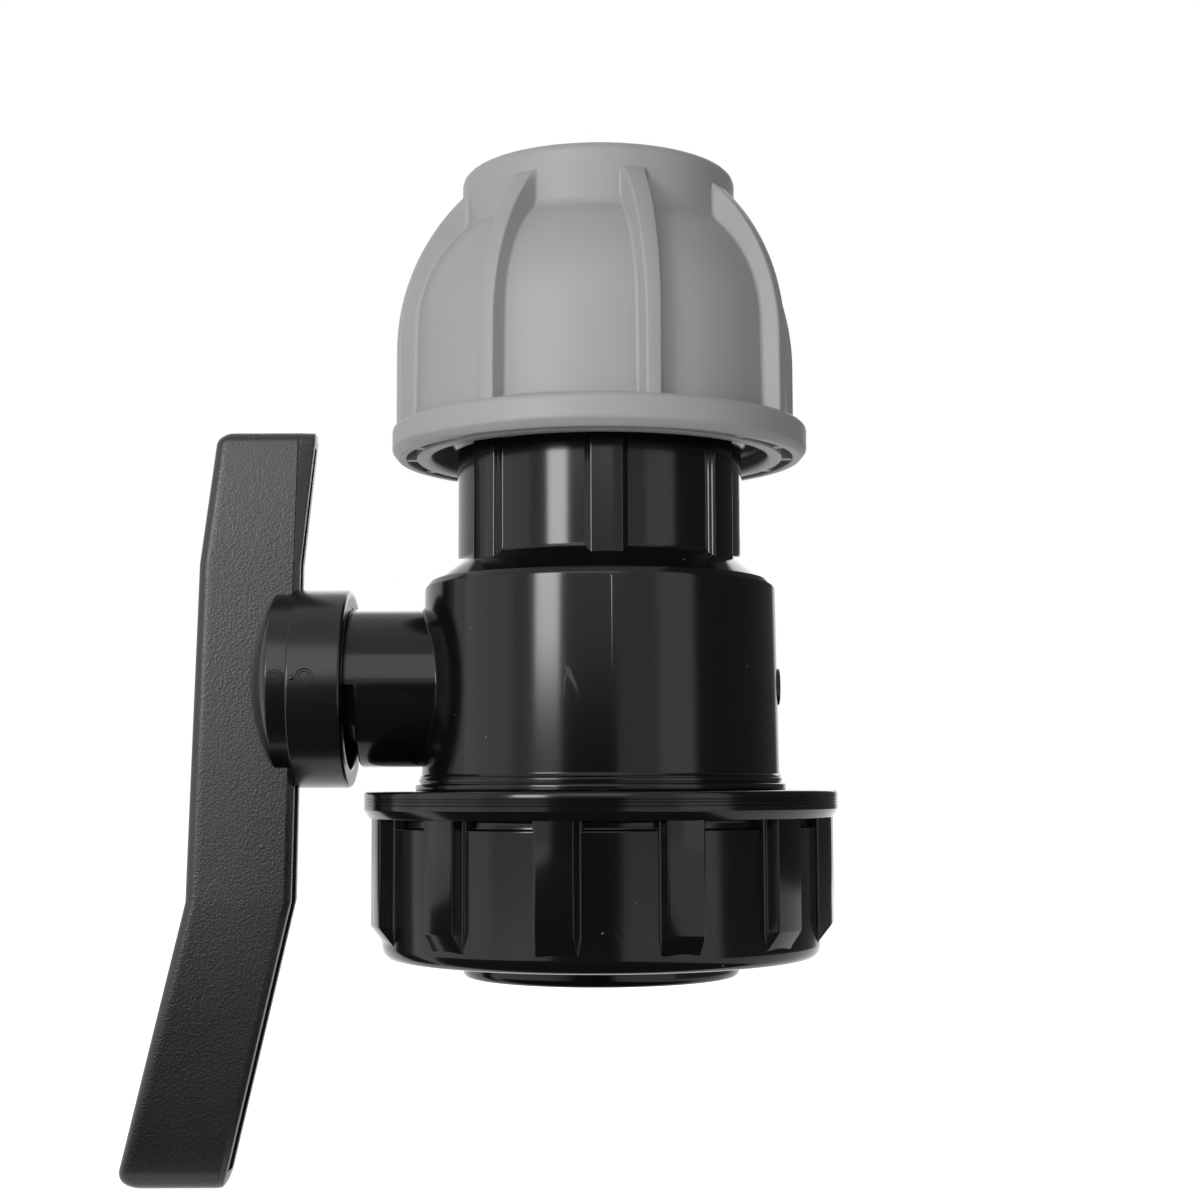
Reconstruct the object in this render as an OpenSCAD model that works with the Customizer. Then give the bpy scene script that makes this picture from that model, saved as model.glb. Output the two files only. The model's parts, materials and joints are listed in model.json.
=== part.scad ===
// Single-union ball valve for pressure pipe: a compression end for plain pipe at the top,
// a union with a female pipe thread at the bottom, and a quarter-turn lever at the side.
// Millimetres. The origin is the centre of the outlet mouth, +Z runs up the pipe axis,
// and the stem points along -X. The valve is drawn open, as it leaves the shelf, with the
// compression nut started on its thread.

/* [Pipe and outlet] */
// Outside diameter of the pipe that the compression end takes
pipe_d = 32; // [31.5:0.1:32.5]
// Gap between the pipe and the hole that guides it, per side
pipe_gap = 0.35; // [0.2:0.05:0.5]
// Major diameter of the female thread in the outlet
outlet_thread_d = 33.25; // [32.6:0.05:33.6]
// Depth of the female thread in the outlet
outlet_thread_depth = 17; // [15:0.5:17.5]
// Diameter of the straight way through the valve
way_d = 25; // [23:0.5:25.5]

/* [Ball and seats] */
// Diameter of the ball
ball_d = 40; // [39.5:0.1:41]
// Gap between the ball and its chamber
chamber_gap = 0.7; // [0.5:0.1:1]
// Height of the cone from the chamber in to the upper seat
chamber_cone_h = 5; // [4:0.1:6]
// Gap between the ball and the face of each seat
seat_gap = 0.1; // [0.05:0.01:0.15]
// Distance from the pole of the ball back to the front of each seat
seat_front = 9; // [8.6:0.1:9.4]
// Thickness of each seat along the pipe axis
seat_t = 6; // [5.6:0.1:6.2]
// Outside radius of each seat
seat_r = 18; // [17.6:0.1:18.2]
// Wall between the way and the edge of each seat lip
seat_lip = 0.2; // [0.1:0.05:0.4]
// Cord diameter of the rings behind the seats
seat_cord = 2; // [1.6:0.1:2.2]
// Distance from the edge of each seat in to the groove of the ring behind it
seat_groove_in = 0.6; // [0.4:0.1:0.8]

/* [Valve body] */
// Wall of the barrel round the ball chamber
barrel_wall = 6.8; // [6.4:0.1:8]
// Narrowing of the barrel from its foot to its top, per side
barrel_draft = 0.3; // [0.1:0.05:0.6]
// Height of the barrel above the collar
barrel_h = 28.8; // [28:0.1:32]
// Height of the stem axis above the foot of the barrel
axis_up = 13.5; // [13.3:0.1:14]
// Height of the rounded edge at the top of the barrel
shoulder_round = 0.9; // [0.5:0.1:1.2]
// Height of the cone between the barrel and the neck
shoulder_h = 3.3; // [2.8:0.1:5]
// Height of the collar between the union nut and the barrel
collar_h = 2.5; // [2:0.1:3.5]
// How far the collar stands out from the barrel
collar_out = 0.65; // [0.3:0.05:1]
// Outside diameter of the gate mark on the side away from the stem
gate_d = 5.8; // [4:0.1:7]
// How far the gate mark stands out
gate_out = 0.3; // [0.2:0.05:0.5]

/* [Compression neck] */
// Wall of the neck round the ring socket
neck_wall = 1.9; // [1.8:0.1:2.6]
// How far the ribs stand out from the neck
neck_rib_out = 1.15; // [0.6:0.05:1.3]
// Width of the ribs on the neck
neck_rib_w = 5.8; // [4:0.1:7]
// Angle of the first neck rib from the front
neck_rib_turn = 2.5; // [-10:0.5:10]
// Angle between a neck rib and the next one
neck_rib_step = 51; // [45:1:60]
// Height of the neck from the cone to the male thread
neck_h = 17.2; // [16:0.1:20]
// Height of the run from the neck out to the male thread
neck_flare = 1.6; // [1:0.1:2.5]
// Length of the male compression thread
grip_thread_len = 10.6; // [10:0.1:12]
// Depth of one compression thread
grip_thread_h = 1.5; // [1.2:0.1:1.6]
// Wall of the socket mouth under the male compression thread
grip_root_wall = 4.1; // [3.8:0.1:4.5]
// Thickness of the shelf that stops the pipe
stop_t = 2.5; // [2:0.1:3.5]
// Length of the bore that guides the end of the pipe
pilot_len = 10.3; // [8:0.1:12]

/* [Compression end] */
// Distance that the nut still has to run down when the valve leaves the shelf
tighten_run = 10; // [9:0.1:10.4]
// Height of the nut
nut_h = 44.9; // [44.5:0.1:47]
// Height from the body top down to the mouth of the nut
nut_overlap = 13.4; // [13:0.1:15]
// Wall of the nut round its thread
nut_wall = 3.2; // [3:0.1:4]
// Gap between the male and the female thread, per side
thread_gap = 0.3; // [0.2:0.05:0.4]
// How far the rim of the nut stands out from the dome
nut_rim_out = 3; // [2.7:0.1:4]
// Height of the rim of the nut
nut_rim_h = 5; // [4:0.1:6]
// Chamfer at the lower edge of the rim
nut_rim_chamfer = 1.2; // [0.5:0.1:1.5]
// Height of the straight part of the dome above the mouth
dome_start = 20.4; // [19.5:0.1:21]
// Radius of the arc that closes the dome
dome_arc = 21.6; // [21:0.1:22.2]
// Narrowing of the straight part of the dome, per side
dome_draft = 0.2; // [0.1:0.05:0.4]
// Radius of the hollow fillet between the dome and the collar
dome_fillet = 2.5; // [1.5:0.1:3]
// Gap between the pipe and the hole in the nut
nut_hole_gap = 0.7; // [0.65:0.05:0.9]
// Wall of the collar at the top of the nut
nut_collar_wall = 4.8; // [4.5:0.1:5.2]
// Number of ribs on the nut
nut_ribs = 8; // [6:1:10]
// Angle of the first nut rib from the front
nut_rib_turn = 14.3; // [0:0.1:30]
// How far the nut ribs stand out from the dome
nut_rib_out = 2.5; // [1.5:0.1:2.6]
// Thickness of a nut rib at its crest
nut_rib_t = 2.3; // [1.8:0.1:3]
// Thickness of a nut rib at its root
nut_rib_root = 3.3; // [3:0.1:4]
// Radius of the arc that closes the crest of a nut rib
nut_rib_arc = 37.4; // [37:0.1:38.5]
// Height above the mouth where the crest of a nut rib starts to close
nut_rib_start = 17.4; // [16.8:0.1:17.8]
// Number of pockets in the underside of the nut
nut_pockets = 16; // [12:1:20]
// Depth of the pockets in the underside of the nut
nut_pocket_depth = 2; // [1:0.1:3]
// Length of the clinch ring
clinch_h = 13; // [12.5:0.1:13.2]
// Wall of the clinch ring at its narrow end
clinch_tip_wall = 2.2; // [2:0.1:2.4]
// Wall of the clinch ring at its wide end
clinch_base_wall = 7; // [6.8:0.1:7.1]
// Width of the split in the clinch ring
clinch_split = 4; // [2:0.5:6]
// Number of teeth inside the clinch ring
clinch_teeth = 5; // [3:1:6]
// Depth of the teeth inside the clinch ring
clinch_tooth = 1.1; // [0.6:0.1:1.2]
// Gap between the clinch ring and the cone of the nut
clinch_gap = 0.3; // [0.2:0.05:0.4]
// Cord diameter of the ring that seals on the pipe
pipe_cord = 3.8; // [3.6:0.1:3.9]
// Thickness of the flange on the thrust bush
bush_flange_t = 2.4; // [2:0.1:2.6]
// How far the flange of the thrust bush stands out
bush_flange_out = 2.8; // [2:0.1:3]

/* [Union] */
// Length of the male union thread on the body
union_thread_len = 15.1; // [15:0.1:17]
// Depth of one union thread
union_thread_h = 1.55; // [1.3:0.05:1.8]
// Gap between the body end and the flange of the connector
union_face_gap = 0.5; // [0.4:0.05:0.7]
// Wall of the union nut
union_nut_wall = 4.2; // [3.8:0.1:5]
// Thickness of the inner lip of the union nut
union_lip = 4; // [3.5:0.1:5]
// How far the flange of the union nut stands out
union_flange_out = 2.85; // [2.4:0.05:3.5]
// Height of the flange of the union nut
union_flange_h = 4.1; // [3:0.1:5]
// Height of the relief under the flange of the union nut
union_relief_h = 1.35; // [1:0.05:2]
// Depth of the relief under the flange of the union nut
union_relief_depth = 0.9; // [0.5:0.1:1.2]
// Number of lugs on the union nut
union_lugs = 12; // [8:1:14]
// Angle of the first lug from the front
union_lug_turn = -10.5; // [-15:0.5:15]
// How far the lugs stand out
union_lug_out = 2.1; // [1.5:0.1:2.3]
// Width of a lug
union_lug_w = 5.5; // [4:0.1:7]
// Height of the foot of a lug above the bottom of the union nut
union_lug_foot = 2.6; // [2:0.1:5]
// Height of the sloping end of a lug
union_lug_slope = 2.4; // [1.5:0.1:4]
// Radius of the bottom edge of the union nut
union_nut_round = 1.8; // [1:0.1:2.2]

/* [Union connector] */
// How far the connector shows below the union nut
connector_reveal = 2.9; // [2:0.1:4]
// Wall of the connector round the outlet thread
connector_wall = 4.575; // [4:0.005:5]
// Thickness of the flange that the union nut holds
connector_flange_t = 5.5; // [5:0.1:6]
// Wall of the connector nose above the flange
nose_wall = 3.4; // [3.2:0.1:3.6]
// Wall between the thread and the end of the nose
nose_end_t = 2.5; // [2:0.1:2.8]
// Cord diameter of the ring in the connector face
face_cord = 2; // [1.8:0.1:2.2]

/* [Seat carrier] */
// Wall of the seat carrier round the connector nose
carrier_wall = 3.5; // [3.3:0.1:3.6]
// Length of the threaded part of the seat carrier
carrier_thread_len = 11.3; // [10.5:0.1:11.8]
// Number of spanner slots in the seat carrier
carrier_slots = 4; // [2:1:6]
// Width of the spanner slots in the seat carrier
carrier_slot_w = 4; // [3:0.5:5]
// Depth of the spanner slots in the seat carrier
carrier_slot_depth = 2.5; // [2:0.1:3]
// Cord diameter of the ring round the seat carrier
carrier_cord = 2; // [1.8:0.1:2.1]
// Least wall between the seat and the ring groove of the seat carrier
carrier_groove_wall = 1; // [0.8:0.05:1.1]

/* [Stem and tower] */
// Diameter of the stem
stem_d = 17; // [16.6:0.1:17.4]
// Gap between the stem and its bore, per side
stem_gap = 0.1; // [0.05:0.01:0.1]
// Wall of the tower round the stem
tower_wall = 3.65; // [3.2:0.05:4.4]
// Length of the tower outside the barrel
tower_len = 9.5; // [9:0.1:12]
// Radius of the fillet where the tower meets the barrel
tower_fillet = 4.5; // [3:0.1:4.8]
// How far the shoulder of the stem stands out
stem_shoulder_out = 1.5; // [1.2:0.1:1.6]
// Thickness of the shoulder of the stem
stem_shoulder_t = 3.4; // [3:0.1:3.6]
// Thickness of the thrust washer
washer_t = 0.7; // [0.5:0.05:0.9]
// Cord diameter of the rings on the stem
stem_cord = 2.05; // [1.9:0.05:2.1]
// Thickness of the tongue that turns the ball
tongue_t = 5.6; // [5:0.1:6]
// Depth of the slot in the ball
slot_depth = 4.5; // [4:0.1:5]
// Width across the square that carries the handle
square_w = 11.4; // [11:0.1:11.8]
// Length of the square that carries the handle
square_len = 7.8; // [7:0.1:8.2]

/* [Handle] */
// Gap between the tower end and the back of the hub
hub_gap = 1.6; // [1.2:0.1:2]
// Length of the stop that reaches from the tower into the hub
stop_len = 4.5; // [4:0.1:5]
// Gap between the stop and the inside of the hub, per side
hub_clear = 0.35; // [0.3:0.05:0.5]
// Wall of the hub round the stop
hub_wall = 2.8; // [2.4:0.1:3.4]
// Distance from the back of the hub to its parting line
hub_back_len = 8.2; // [7.8:0.1:9]
// Distance from the parting line to the edge of the dome
hub_front_len = 3.7; // [3.4:0.1:4.5]
// Radius of the dome on the hub
hub_dome_arc = 31; // [29:0.5:36]
// Distance from the hub dome to the outer face of the lever
lever_cap = 7.3; // [7:0.1:9]
// Width of the long arm of the lever
lever_w = 8; // [7.4:0.1:9.5]
// Width of the lever at the tip of the short arm
lever_tip_w = 5.6; // [5.2:0.1:7]
// Depth of the lever at the hub
lever_depth = 13.9; // [13:0.1:15]
// Wall of the lever
lever_wall = 2; // [1.6:0.1:2.2]
// Height of the short arm above the stem axis
arm_up = 38.7; // [34:0.1:44]
// Length of the long arm below the stem axis
arm_down = 74.5; // [68:0.1:80]
// Height of the upper bend above the stem axis
bend_up = 19.4; // [18.5:0.1:22]
// Depth of the lower bend below the stem axis
bend_down = 32.7; // [30:0.1:36]
// How far the tip of the short arm leans towards the valve
lean_up = 2.3; // [1.5:0.1:3]
// How far the tip of the long arm leans away from the valve
lean_down = 9.9; // [8:0.1:12]
// Radius along the outer edges of the lever
lever_round = 2; // [1:0.1:2.2]
// Height of the rounding at the tip of the short arm
lever_tip_round = 2.6; // [2:0.1:3.2]
// Height of the rounding at the foot of the long arm
lever_foot_round = 4.6; // [3.6:0.1:5.4]

/* [Hidden] */
$fn = 96;

// Clearance between pieces that are seated on each other and do not move
seat_fit = 0.05;
// Clearance between a screwed-in piece and its bore
screw_fit = 0.2;
// Overlap by which a cutting shape passes a face
cut = 1;

black_pp = [0.09, 0.09, 0.095];
grey_pp = [0.62, 0.62, 0.63];
white_acetal = [0.93, 0.93, 0.9];
seat_white = [0.95, 0.95, 0.93];
ball_white = [0.86, 0.86, 0.85];
rubber_black = [0.05, 0.05, 0.05];

pipe_r = pipe_d / 2;
way_r = way_d / 2;
ball_r = ball_d / 2;
chamber_r = ball_r + chamber_gap;
// Distance from the ball centre to the front of each seat
seat_up = ball_r - seat_front;
seat_groove_r = seat_r - seat_groove_in;
barrel_r = chamber_r + barrel_wall;
barrel_top_r = barrel_r - barrel_draft;

// Heights along the pipe axis, from the outlet mouth up
union_nut_z = connector_reveal;
flange_z = union_nut_z + union_lip + 0.1;
flange_top_z = flange_z + connector_flange_t;
body_z = flange_top_z + union_face_gap;
collar_z = body_z + union_thread_len;
barrel_z = collar_z + collar_h;
axis_z = barrel_z + axis_up;
barrel_top_z = barrel_z + barrel_h;
cone_z = barrel_top_z + shoulder_round;
neck_z = cone_z + shoulder_h;
flare_z = neck_z + neck_h;
grip_thread_z = flare_z + neck_flare;
body_top_z = grip_thread_z + grip_thread_len;
nut_z = body_top_z - nut_overlap;

// Radii of the union
union_crest_r = barrel_r + union_thread_h;
union_bore_r = union_crest_r + thread_gap;
union_nut_r = union_bore_r + union_nut_wall;
union_flange_r = union_nut_r + union_flange_out;
union_lug_r = union_nut_r + union_lug_out;
outlet_r = outlet_thread_d / 2;
connector_r = outlet_r + connector_wall;
nose_r = outlet_r + nose_wall;
nose_top_z = outlet_thread_depth + nose_end_t;
carrier_bore_r = nose_r + 0.3;
carrier_r = carrier_bore_r + carrier_wall;
// The neck of the carrier passes the ball, and leaves a wall between the seat and the ring groove
carrier_neck_r = max(chamber_r + 0.5, seat_r + seat_fit + carrier_cord + carrier_groove_wall);
carrier_z = body_z + screw_fit;
carrier_shelf_z = carrier_z + carrier_thread_len;
carrier_top_z = axis_z - seat_up - 0.1;
carrier_ring_z = (carrier_shelf_z + carrier_top_z) / 2;
// Middle radius of the ring in the connector face, under the wall of the body end
face_ring_r = (barrel_r + carrier_r + screw_fit) / 2;

// Radii of the compression end
// Gap between the pipe and the loose pieces round it, wider than the guide so that only that one guides
inner_gap = pipe_gap + 0.1;
ring_in_r = pipe_r + inner_gap;
socket_r = ring_in_r + pipe_cord + seat_fit;
neck_r = socket_r + neck_wall;
grip_root_r = socket_r + grip_root_wall;
grip_crest_r = grip_root_r + grip_thread_h;
nut_bore_r = grip_crest_r + thread_gap;
dome_r = nut_bore_r + nut_wall;
nut_rim_r = dome_r + nut_rim_out;
nut_hole_r = pipe_r + nut_hole_gap;
nut_collar_r = nut_hole_r + nut_collar_wall;

// Heights inside the compression end
seat_back_z = axis_z + seat_up + seat_t;
ring_room_z = seat_back_z + seat_cord + 2 * seat_fit;
pilot_z = ring_room_z + stop_t;
socket_z = pilot_z + pilot_len;
bush_z = body_top_z;
bush_flange_z = bush_z + tighten_run + 0.4;
clinch_z = bush_flange_z + bush_flange_t + 0.2;
clinch_top_z = clinch_z + clinch_h;
nut_bore_top_z = bush_flange_z - 0.2;
clinch_tip_r = pipe_r + inner_gap + clinch_tip_wall;
clinch_base_r = pipe_r + inner_gap + clinch_base_wall;

// Distances along the stem axis, outwards from the pipe axis
tower_r = stem_d / 2 + stem_gap + tower_wall;
tower_end = barrel_r + tower_len;
stem_r = stem_d / 2;
stem_shoulder_r = stem_r + stem_shoulder_out;
shoulder_in = chamber_r + 0.5;
shoulder_out = shoulder_in + stem_shoulder_t;
washer_out = shoulder_out + washer_t + 2 * seat_fit;
inner_groove = washer_out + 2.6;
groove_pitch = stem_cord + 2;
stop_end = tower_end + stop_len;
hub_back = tower_end + hub_gap;
hub_core = stop_end + 0.5;
hub_parting = hub_back + hub_back_len;
hub_edge = hub_parting + hub_front_len;
hub_hollow_r = tower_r + hub_clear;
hub_r = hub_hollow_r + hub_wall;
hub_front_r = hub_r - 0.3;
hub_edge_r = hub_front_r - 0.6;
dome_centre = hub_edge - sqrt(hub_dome_arc * hub_dome_arc - hub_edge_r * hub_edge_r);
hub_apex = dome_centre + hub_dome_arc;
square_end = hub_core + square_len;
lever_x = hub_apex + lever_cap;

// Height above the stem axis, distance out, depth and width of the lever: tip, upper bend, lower bend, foot
lever_taper = (lever_w - lever_tip_w) / (arm_up + bend_down);
lever_stations = [
    [arm_up, lever_x - 0.5 - lean_up, lever_depth - 0.2, lever_tip_w],
    [bend_up, lever_x - 0.5, lever_depth, lever_w - lever_taper * (bend_up + bend_down)],
    [-bend_down, lever_x + 0.9, lever_depth + 0.2, lever_w],
    [-arm_down, lever_x + 0.9 + lean_down, lever_depth + 0.7, lever_w],
];
lever_slope_up = lean_up / (arm_up - bend_up);
lever_slope_down = lean_down / (arm_down - bend_down);

// Points on an arc round a centre, from one angle to another
function arc(centre, r, from, to, steps) = [
    for (i = [0:steps]) let (a = from + (to - from) * i / steps)
    [centre[0] + r * cos(a), centre[1] + r * sin(a)]
];

// Skins a stack of outlines, drawn anticlockwise and listed from the lowest up, and closes its ends
module loft(rows) {
    count = len(rows[0]);
    last = (len(rows) - 1) * count;
    caps = [[for (i = [0:count - 1]) i], [for (i = [count - 1:-1:0]) last + i]];
    polyhedron(
        points = [for (row = rows) each row],
        faces = concat(skin_faces(len(rows) - 1, len(rows), count), caps),
        convexity = 4
    );
}

// Skins outlines that follow one another round a loop
module loop_loft(rows) {
    polyhedron(
        points = [for (row = rows) each row],
        faces = skin_faces(len(rows), len(rows), len(rows[0])),
        convexity = 4
    );
}

// Two triangles between each pair of neighbours on each pair of outlines
function skin_faces(strips, levels, count) = [
    for (s = [0:strips - 1], i = [0:count - 1])
        let (a = s * count, b = ((s + 1) % levels) * count, j = (i + 1) % count)
        each [[a + i, b + i, b + j], [a + i, b + j, a + j]]
];

// A solid ring between two radii and two heights
module ring(r_out, r_in, z, h) {
    translate([0, 0, z]) difference() {
        cylinder(r = r_out, h = h);
        translate([0, 0, -cut]) cylinder(r = r_in, h = h + 2 * cut);
    }
}

// A rubber ring of round cord
module o_ring(mid_r, cord, z) {
    translate([0, 0, z]) rotate_extrude() translate([mid_r, 0]) circle(d = cord, $fn = 32);
}

// Turns what is drawn along +Z so that it lies on the stem axis and points outwards
module on_stem_axis() {
    translate([0, 0, axis_z]) rotate([0, -90, 0]) children();
}

// Outer outline of the body, revolved about the pipe axis
module body_outside() {
    rotate_extrude() polygon([
        [0, body_z],
        [barrel_r - 0.8, body_z],
        [barrel_r, body_z + 0.8],
        [barrel_r, collar_z],
        [barrel_r + collar_out, collar_z],
        [barrel_r + collar_out, barrel_z - 0.6],
        [barrel_r, barrel_z],
        [barrel_top_r, barrel_top_z],
        [barrel_top_r - 0.2, barrel_top_z + shoulder_round * 0.6],
        [barrel_top_r - 0.6, cone_z],
        [neck_r, neck_z],
        [neck_r, flare_z],
        [grip_root_r, grip_thread_z],
        [grip_root_r, body_top_z - 0.8],
        [grip_root_r - 0.8, body_top_z],
        [0, body_top_z],
    ]);
}

// Everything bored out of the body along the pipe axis
module body_inside() {
    rotate_extrude() polygon([
        [0, body_z - cut],
        [carrier_r + screw_fit, body_z - cut],
        [carrier_r + screw_fit, carrier_shelf_z],
        [carrier_neck_r + seat_fit, carrier_shelf_z],
        [carrier_neck_r + seat_fit, carrier_top_z + 0.2],
        [chamber_r, carrier_top_z + 0.2],
        [chamber_r, axis_z + seat_up - chamber_cone_h],
        [seat_r + seat_fit, axis_z + seat_up],
        [seat_r + seat_fit, seat_back_z],
        [seat_groove_r, seat_back_z],
        [seat_groove_r, ring_room_z],
        [seat_groove_r - seat_cord - 2 * seat_fit, ring_room_z],
        [seat_groove_r - seat_cord - 2 * seat_fit, seat_back_z],
        [way_r, seat_back_z],
        [way_r, pilot_z],
        [pipe_r + pipe_gap, pilot_z],
        [pipe_r + pipe_gap, socket_z],
        [socket_r, socket_z],
        [socket_r, body_top_z - 0.7],
        [socket_r + 0.7, body_top_z],
        [socket_r + 0.7, body_top_z + cut],
        [0, body_top_z + cut],
    ]);
}

// Ribs down the neck, three at the front and three at the back
module neck_ribs() {
    rib_r = neck_r + neck_rib_out;
    for (half = [0, 180], k = [-1:1])
        rotate(half + neck_rib_turn + k * neck_rib_step)
            intersection() {
                translate([-neck_rib_w / 2, -rib_r - cut, barrel_top_z])
                    cube([neck_rib_w, rib_r - socket_r + cut - 1, flare_z + neck_flare / 2 - barrel_top_z]);
                cylinder(r = rib_r, h = body_top_z);
            }
}

// Rolling-ball fillet between the barrel and the tower, as rings of points round the tower
module tower_saddle() {
    barrel_mid_r = barrel_r - barrel_draft * axis_up / barrel_h;
    sides = 48;
    steps = 6;
    sunk = 0.06;
    path_r = tower_r + tower_fillet;
    reach = barrel_mid_r + tower_fillet;
    // Centre of the rolling ball at an angle round the tower
    function centre(a) = [-sqrt(reach * reach - pow(path_r * sin(a), 2)), path_r * sin(a), path_r * cos(a)];
    // Where the ball touches the tower, and where it touches the barrel
    function on_tower(a) = [centre(a)[0], (tower_r - sunk) * sin(a), (tower_r - sunk) * cos(a)];
    function on_barrel(a) = let (c = centre(a), k = (barrel_mid_r - sunk) / reach)
        [c[0] * k, c[1] * k, c[2]];
    // A point of the fillet between the two, on the ball
    function on_ball(a, t) = let (
        c = centre(a),
        u = on_tower(a) - c,
        v = on_barrel(a) - c,
        w = u * (1 - t) + v * t,
        size = norm(u) * (1 - t) + norm(v) * t
    ) c + w * size / norm(w);
    function ring_points(a) = concat(
        [for (i = [0:steps]) on_ball(a, i / steps)],
        [on_barrel(a) + [3, 0, 0]],
        [[centre(a)[0] + 3, (tower_r - 2) * sin(a), (tower_r - 2) * cos(a)]]
    );
    translate([0, 0, axis_z]) loop_loft([for (s = [0:sides - 1]) ring_points(360 * s / sides)]);
}

// Tower that carries the stem, with the half-round stop at its end
module tower() {
    on_stem_axis() {
        cylinder(r = tower_r, h = tower_end);
        intersection() {
            cylinder(r = tower_r, h = stop_end);
            translate([-2 * tower_r, -tower_r - cut, 0]) cube([2 * tower_r, 2 * (tower_r + cut), stop_end]);
        }
    }
}

// Bore of the stem, with the counterbore for its shoulder
module stem_bore() {
    on_stem_axis() {
        cylinder(r = stem_r + stem_gap, h = stop_end + cut);
        cylinder(r = stem_shoulder_r + 0.3, h = washer_out);
    }
}

module valve_body() {
    color(black_pp) difference() {
        union() {
            body_outside();
            neck_ribs();
            tower();
            tower_saddle();
            translate([0, 0, axis_z]) rotate([0, 90, 0]) cylinder(d = gate_d, h = barrel_r + gate_out);
        }
        body_inside();
        stem_bore();
    }
}

module seat_carrier() {
    pocket_z = axis_z - seat_up - seat_t;
    groove_z = pocket_z - seat_cord - 2 * seat_fit;
    color(black_pp) difference() {
        rotate_extrude() polygon([
            [carrier_bore_r, carrier_z],
            [carrier_r - 0.6, carrier_z],
            [carrier_r, carrier_z + 0.6],
            [carrier_r, carrier_shelf_z - seat_fit],
            [carrier_neck_r, carrier_shelf_z - seat_fit],
            [carrier_neck_r, carrier_ring_z - carrier_cord / 2 - seat_fit],
            [carrier_neck_r - carrier_cord, carrier_ring_z - carrier_cord / 2 - seat_fit],
            [carrier_neck_r - carrier_cord, carrier_ring_z + carrier_cord / 2 + seat_fit],
            [carrier_neck_r, carrier_ring_z + carrier_cord / 2 + seat_fit],
            [carrier_neck_r, carrier_top_z],
            [seat_r + seat_fit, carrier_top_z],
            [seat_r + seat_fit, pocket_z],
            [seat_groove_r, pocket_z],
            [seat_groove_r, groove_z],
            [seat_groove_r - seat_cord - 2 * seat_fit, groove_z],
            [seat_groove_r - seat_cord - 2 * seat_fit, pocket_z],
            [way_r + seat_lip, pocket_z],
            [way_r + seat_lip, nose_top_z + 0.5],
            [carrier_bore_r, nose_top_z + 0.5],
        ]);
        for (k = [0:carrier_slots - 1])
            rotate(360 * k / carrier_slots)
                translate([way_r - cut, -carrier_slot_w / 2, nose_top_z])
                    cube([carrier_bore_r - way_r + cut - 1.5, carrier_slot_w, carrier_slot_depth]);
    }
}

module carrier_o_ring() {
    color(rubber_black)
        o_ring(carrier_neck_r - carrier_cord / 2 + seat_fit / 2, carrier_cord - seat_fit, carrier_ring_z);
}

// A seat drawn above the ball, with a face that follows the ball
module ball_seat() {
    translate([0, 0, axis_z]) difference() {
        ring(seat_r, way_r + seat_lip, seat_up, seat_t);
        sphere(r = ball_r + seat_gap);
    }
}

// Turns what is drawn above the ball to the same place below it
module below_ball() {
    translate([0, 0, 2 * axis_z]) mirror([0, 0, 1]) children();
}

module seat_o_ring() {
    o_ring(seat_groove_r - seat_cord / 2 - seat_fit, seat_cord, seat_back_z + seat_cord / 2 + seat_fit);
}

module upper_ball_seat() {
    color(seat_white) ball_seat();
}

module upper_seat_o_ring() {
    color(rubber_black) seat_o_ring();
}

module lower_ball_seat() {
    color(seat_white) below_ball() ball_seat();
}

module lower_seat_o_ring() {
    color(rubber_black) below_ball() seat_o_ring();
}

module ball() {
    slot_w = tongue_t + 0.4;
    slot_len = 2 * stem_r - 0.6;
    color(ball_white) translate([0, 0, axis_z]) difference() {
        sphere(r = ball_r);
        translate([0, 0, -ball_r - cut]) cylinder(r = way_r, h = ball_d + 2 * cut);
        translate([-ball_r - cut, -slot_len / 2, -slot_w / 2]) cube([slot_depth + cut, slot_len, slot_w]);
    }
}

module stem() {
    groove_r = stem_r - stem_cord;
    groove_half = stem_cord / 2 + seat_fit;
    outer_groove = inner_groove + groove_pitch;
    tongue_tip = ball_r - slot_depth + 0.3;
    color(black_pp) on_stem_axis() {
        rotate_extrude() polygon([
            [0, shoulder_in],
            [stem_shoulder_r, shoulder_in],
            [stem_shoulder_r, shoulder_out],
            [stem_r, shoulder_out],
            [stem_r, inner_groove - groove_half],
            [groove_r, inner_groove - groove_half],
            [groove_r, inner_groove + groove_half],
            [stem_r, inner_groove + groove_half],
            [stem_r, outer_groove - groove_half],
            [groove_r, outer_groove - groove_half],
            [groove_r, outer_groove + groove_half],
            [stem_r, outer_groove + groove_half],
            [stem_r, hub_core - 0.1],
            [0, hub_core - 0.1],
        ]);
        translate([-square_w / 2, -square_w / 2, hub_core - cut])
            cube([square_w, square_w, square_len + cut - 0.3]);
        intersection() {
            translate([-tongue_t / 2, -stem_r, tongue_tip])
                cube([tongue_t, 2 * stem_r, shoulder_in - tongue_tip + cut]);
            translate([0, 0, tongue_tip - cut]) cylinder(r = stem_r - 0.5, h = shoulder_in);
        }
    }
}

module stem_thrust_washer() {
    color(seat_white) on_stem_axis()
        ring(stem_shoulder_r + 0.1, stem_r + 0.15, shoulder_out + seat_fit, washer_t);
}

module stem_o_ring(along) {
    color(rubber_black) on_stem_axis()
        o_ring(stem_r - stem_cord / 2 + 0.05, stem_cord - 0.05, along);
}

module stem_o_ring_inner() {
    stem_o_ring(inner_groove);
}

module stem_o_ring_outer() {
    stem_o_ring(inner_groove + groove_pitch);
}

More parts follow.
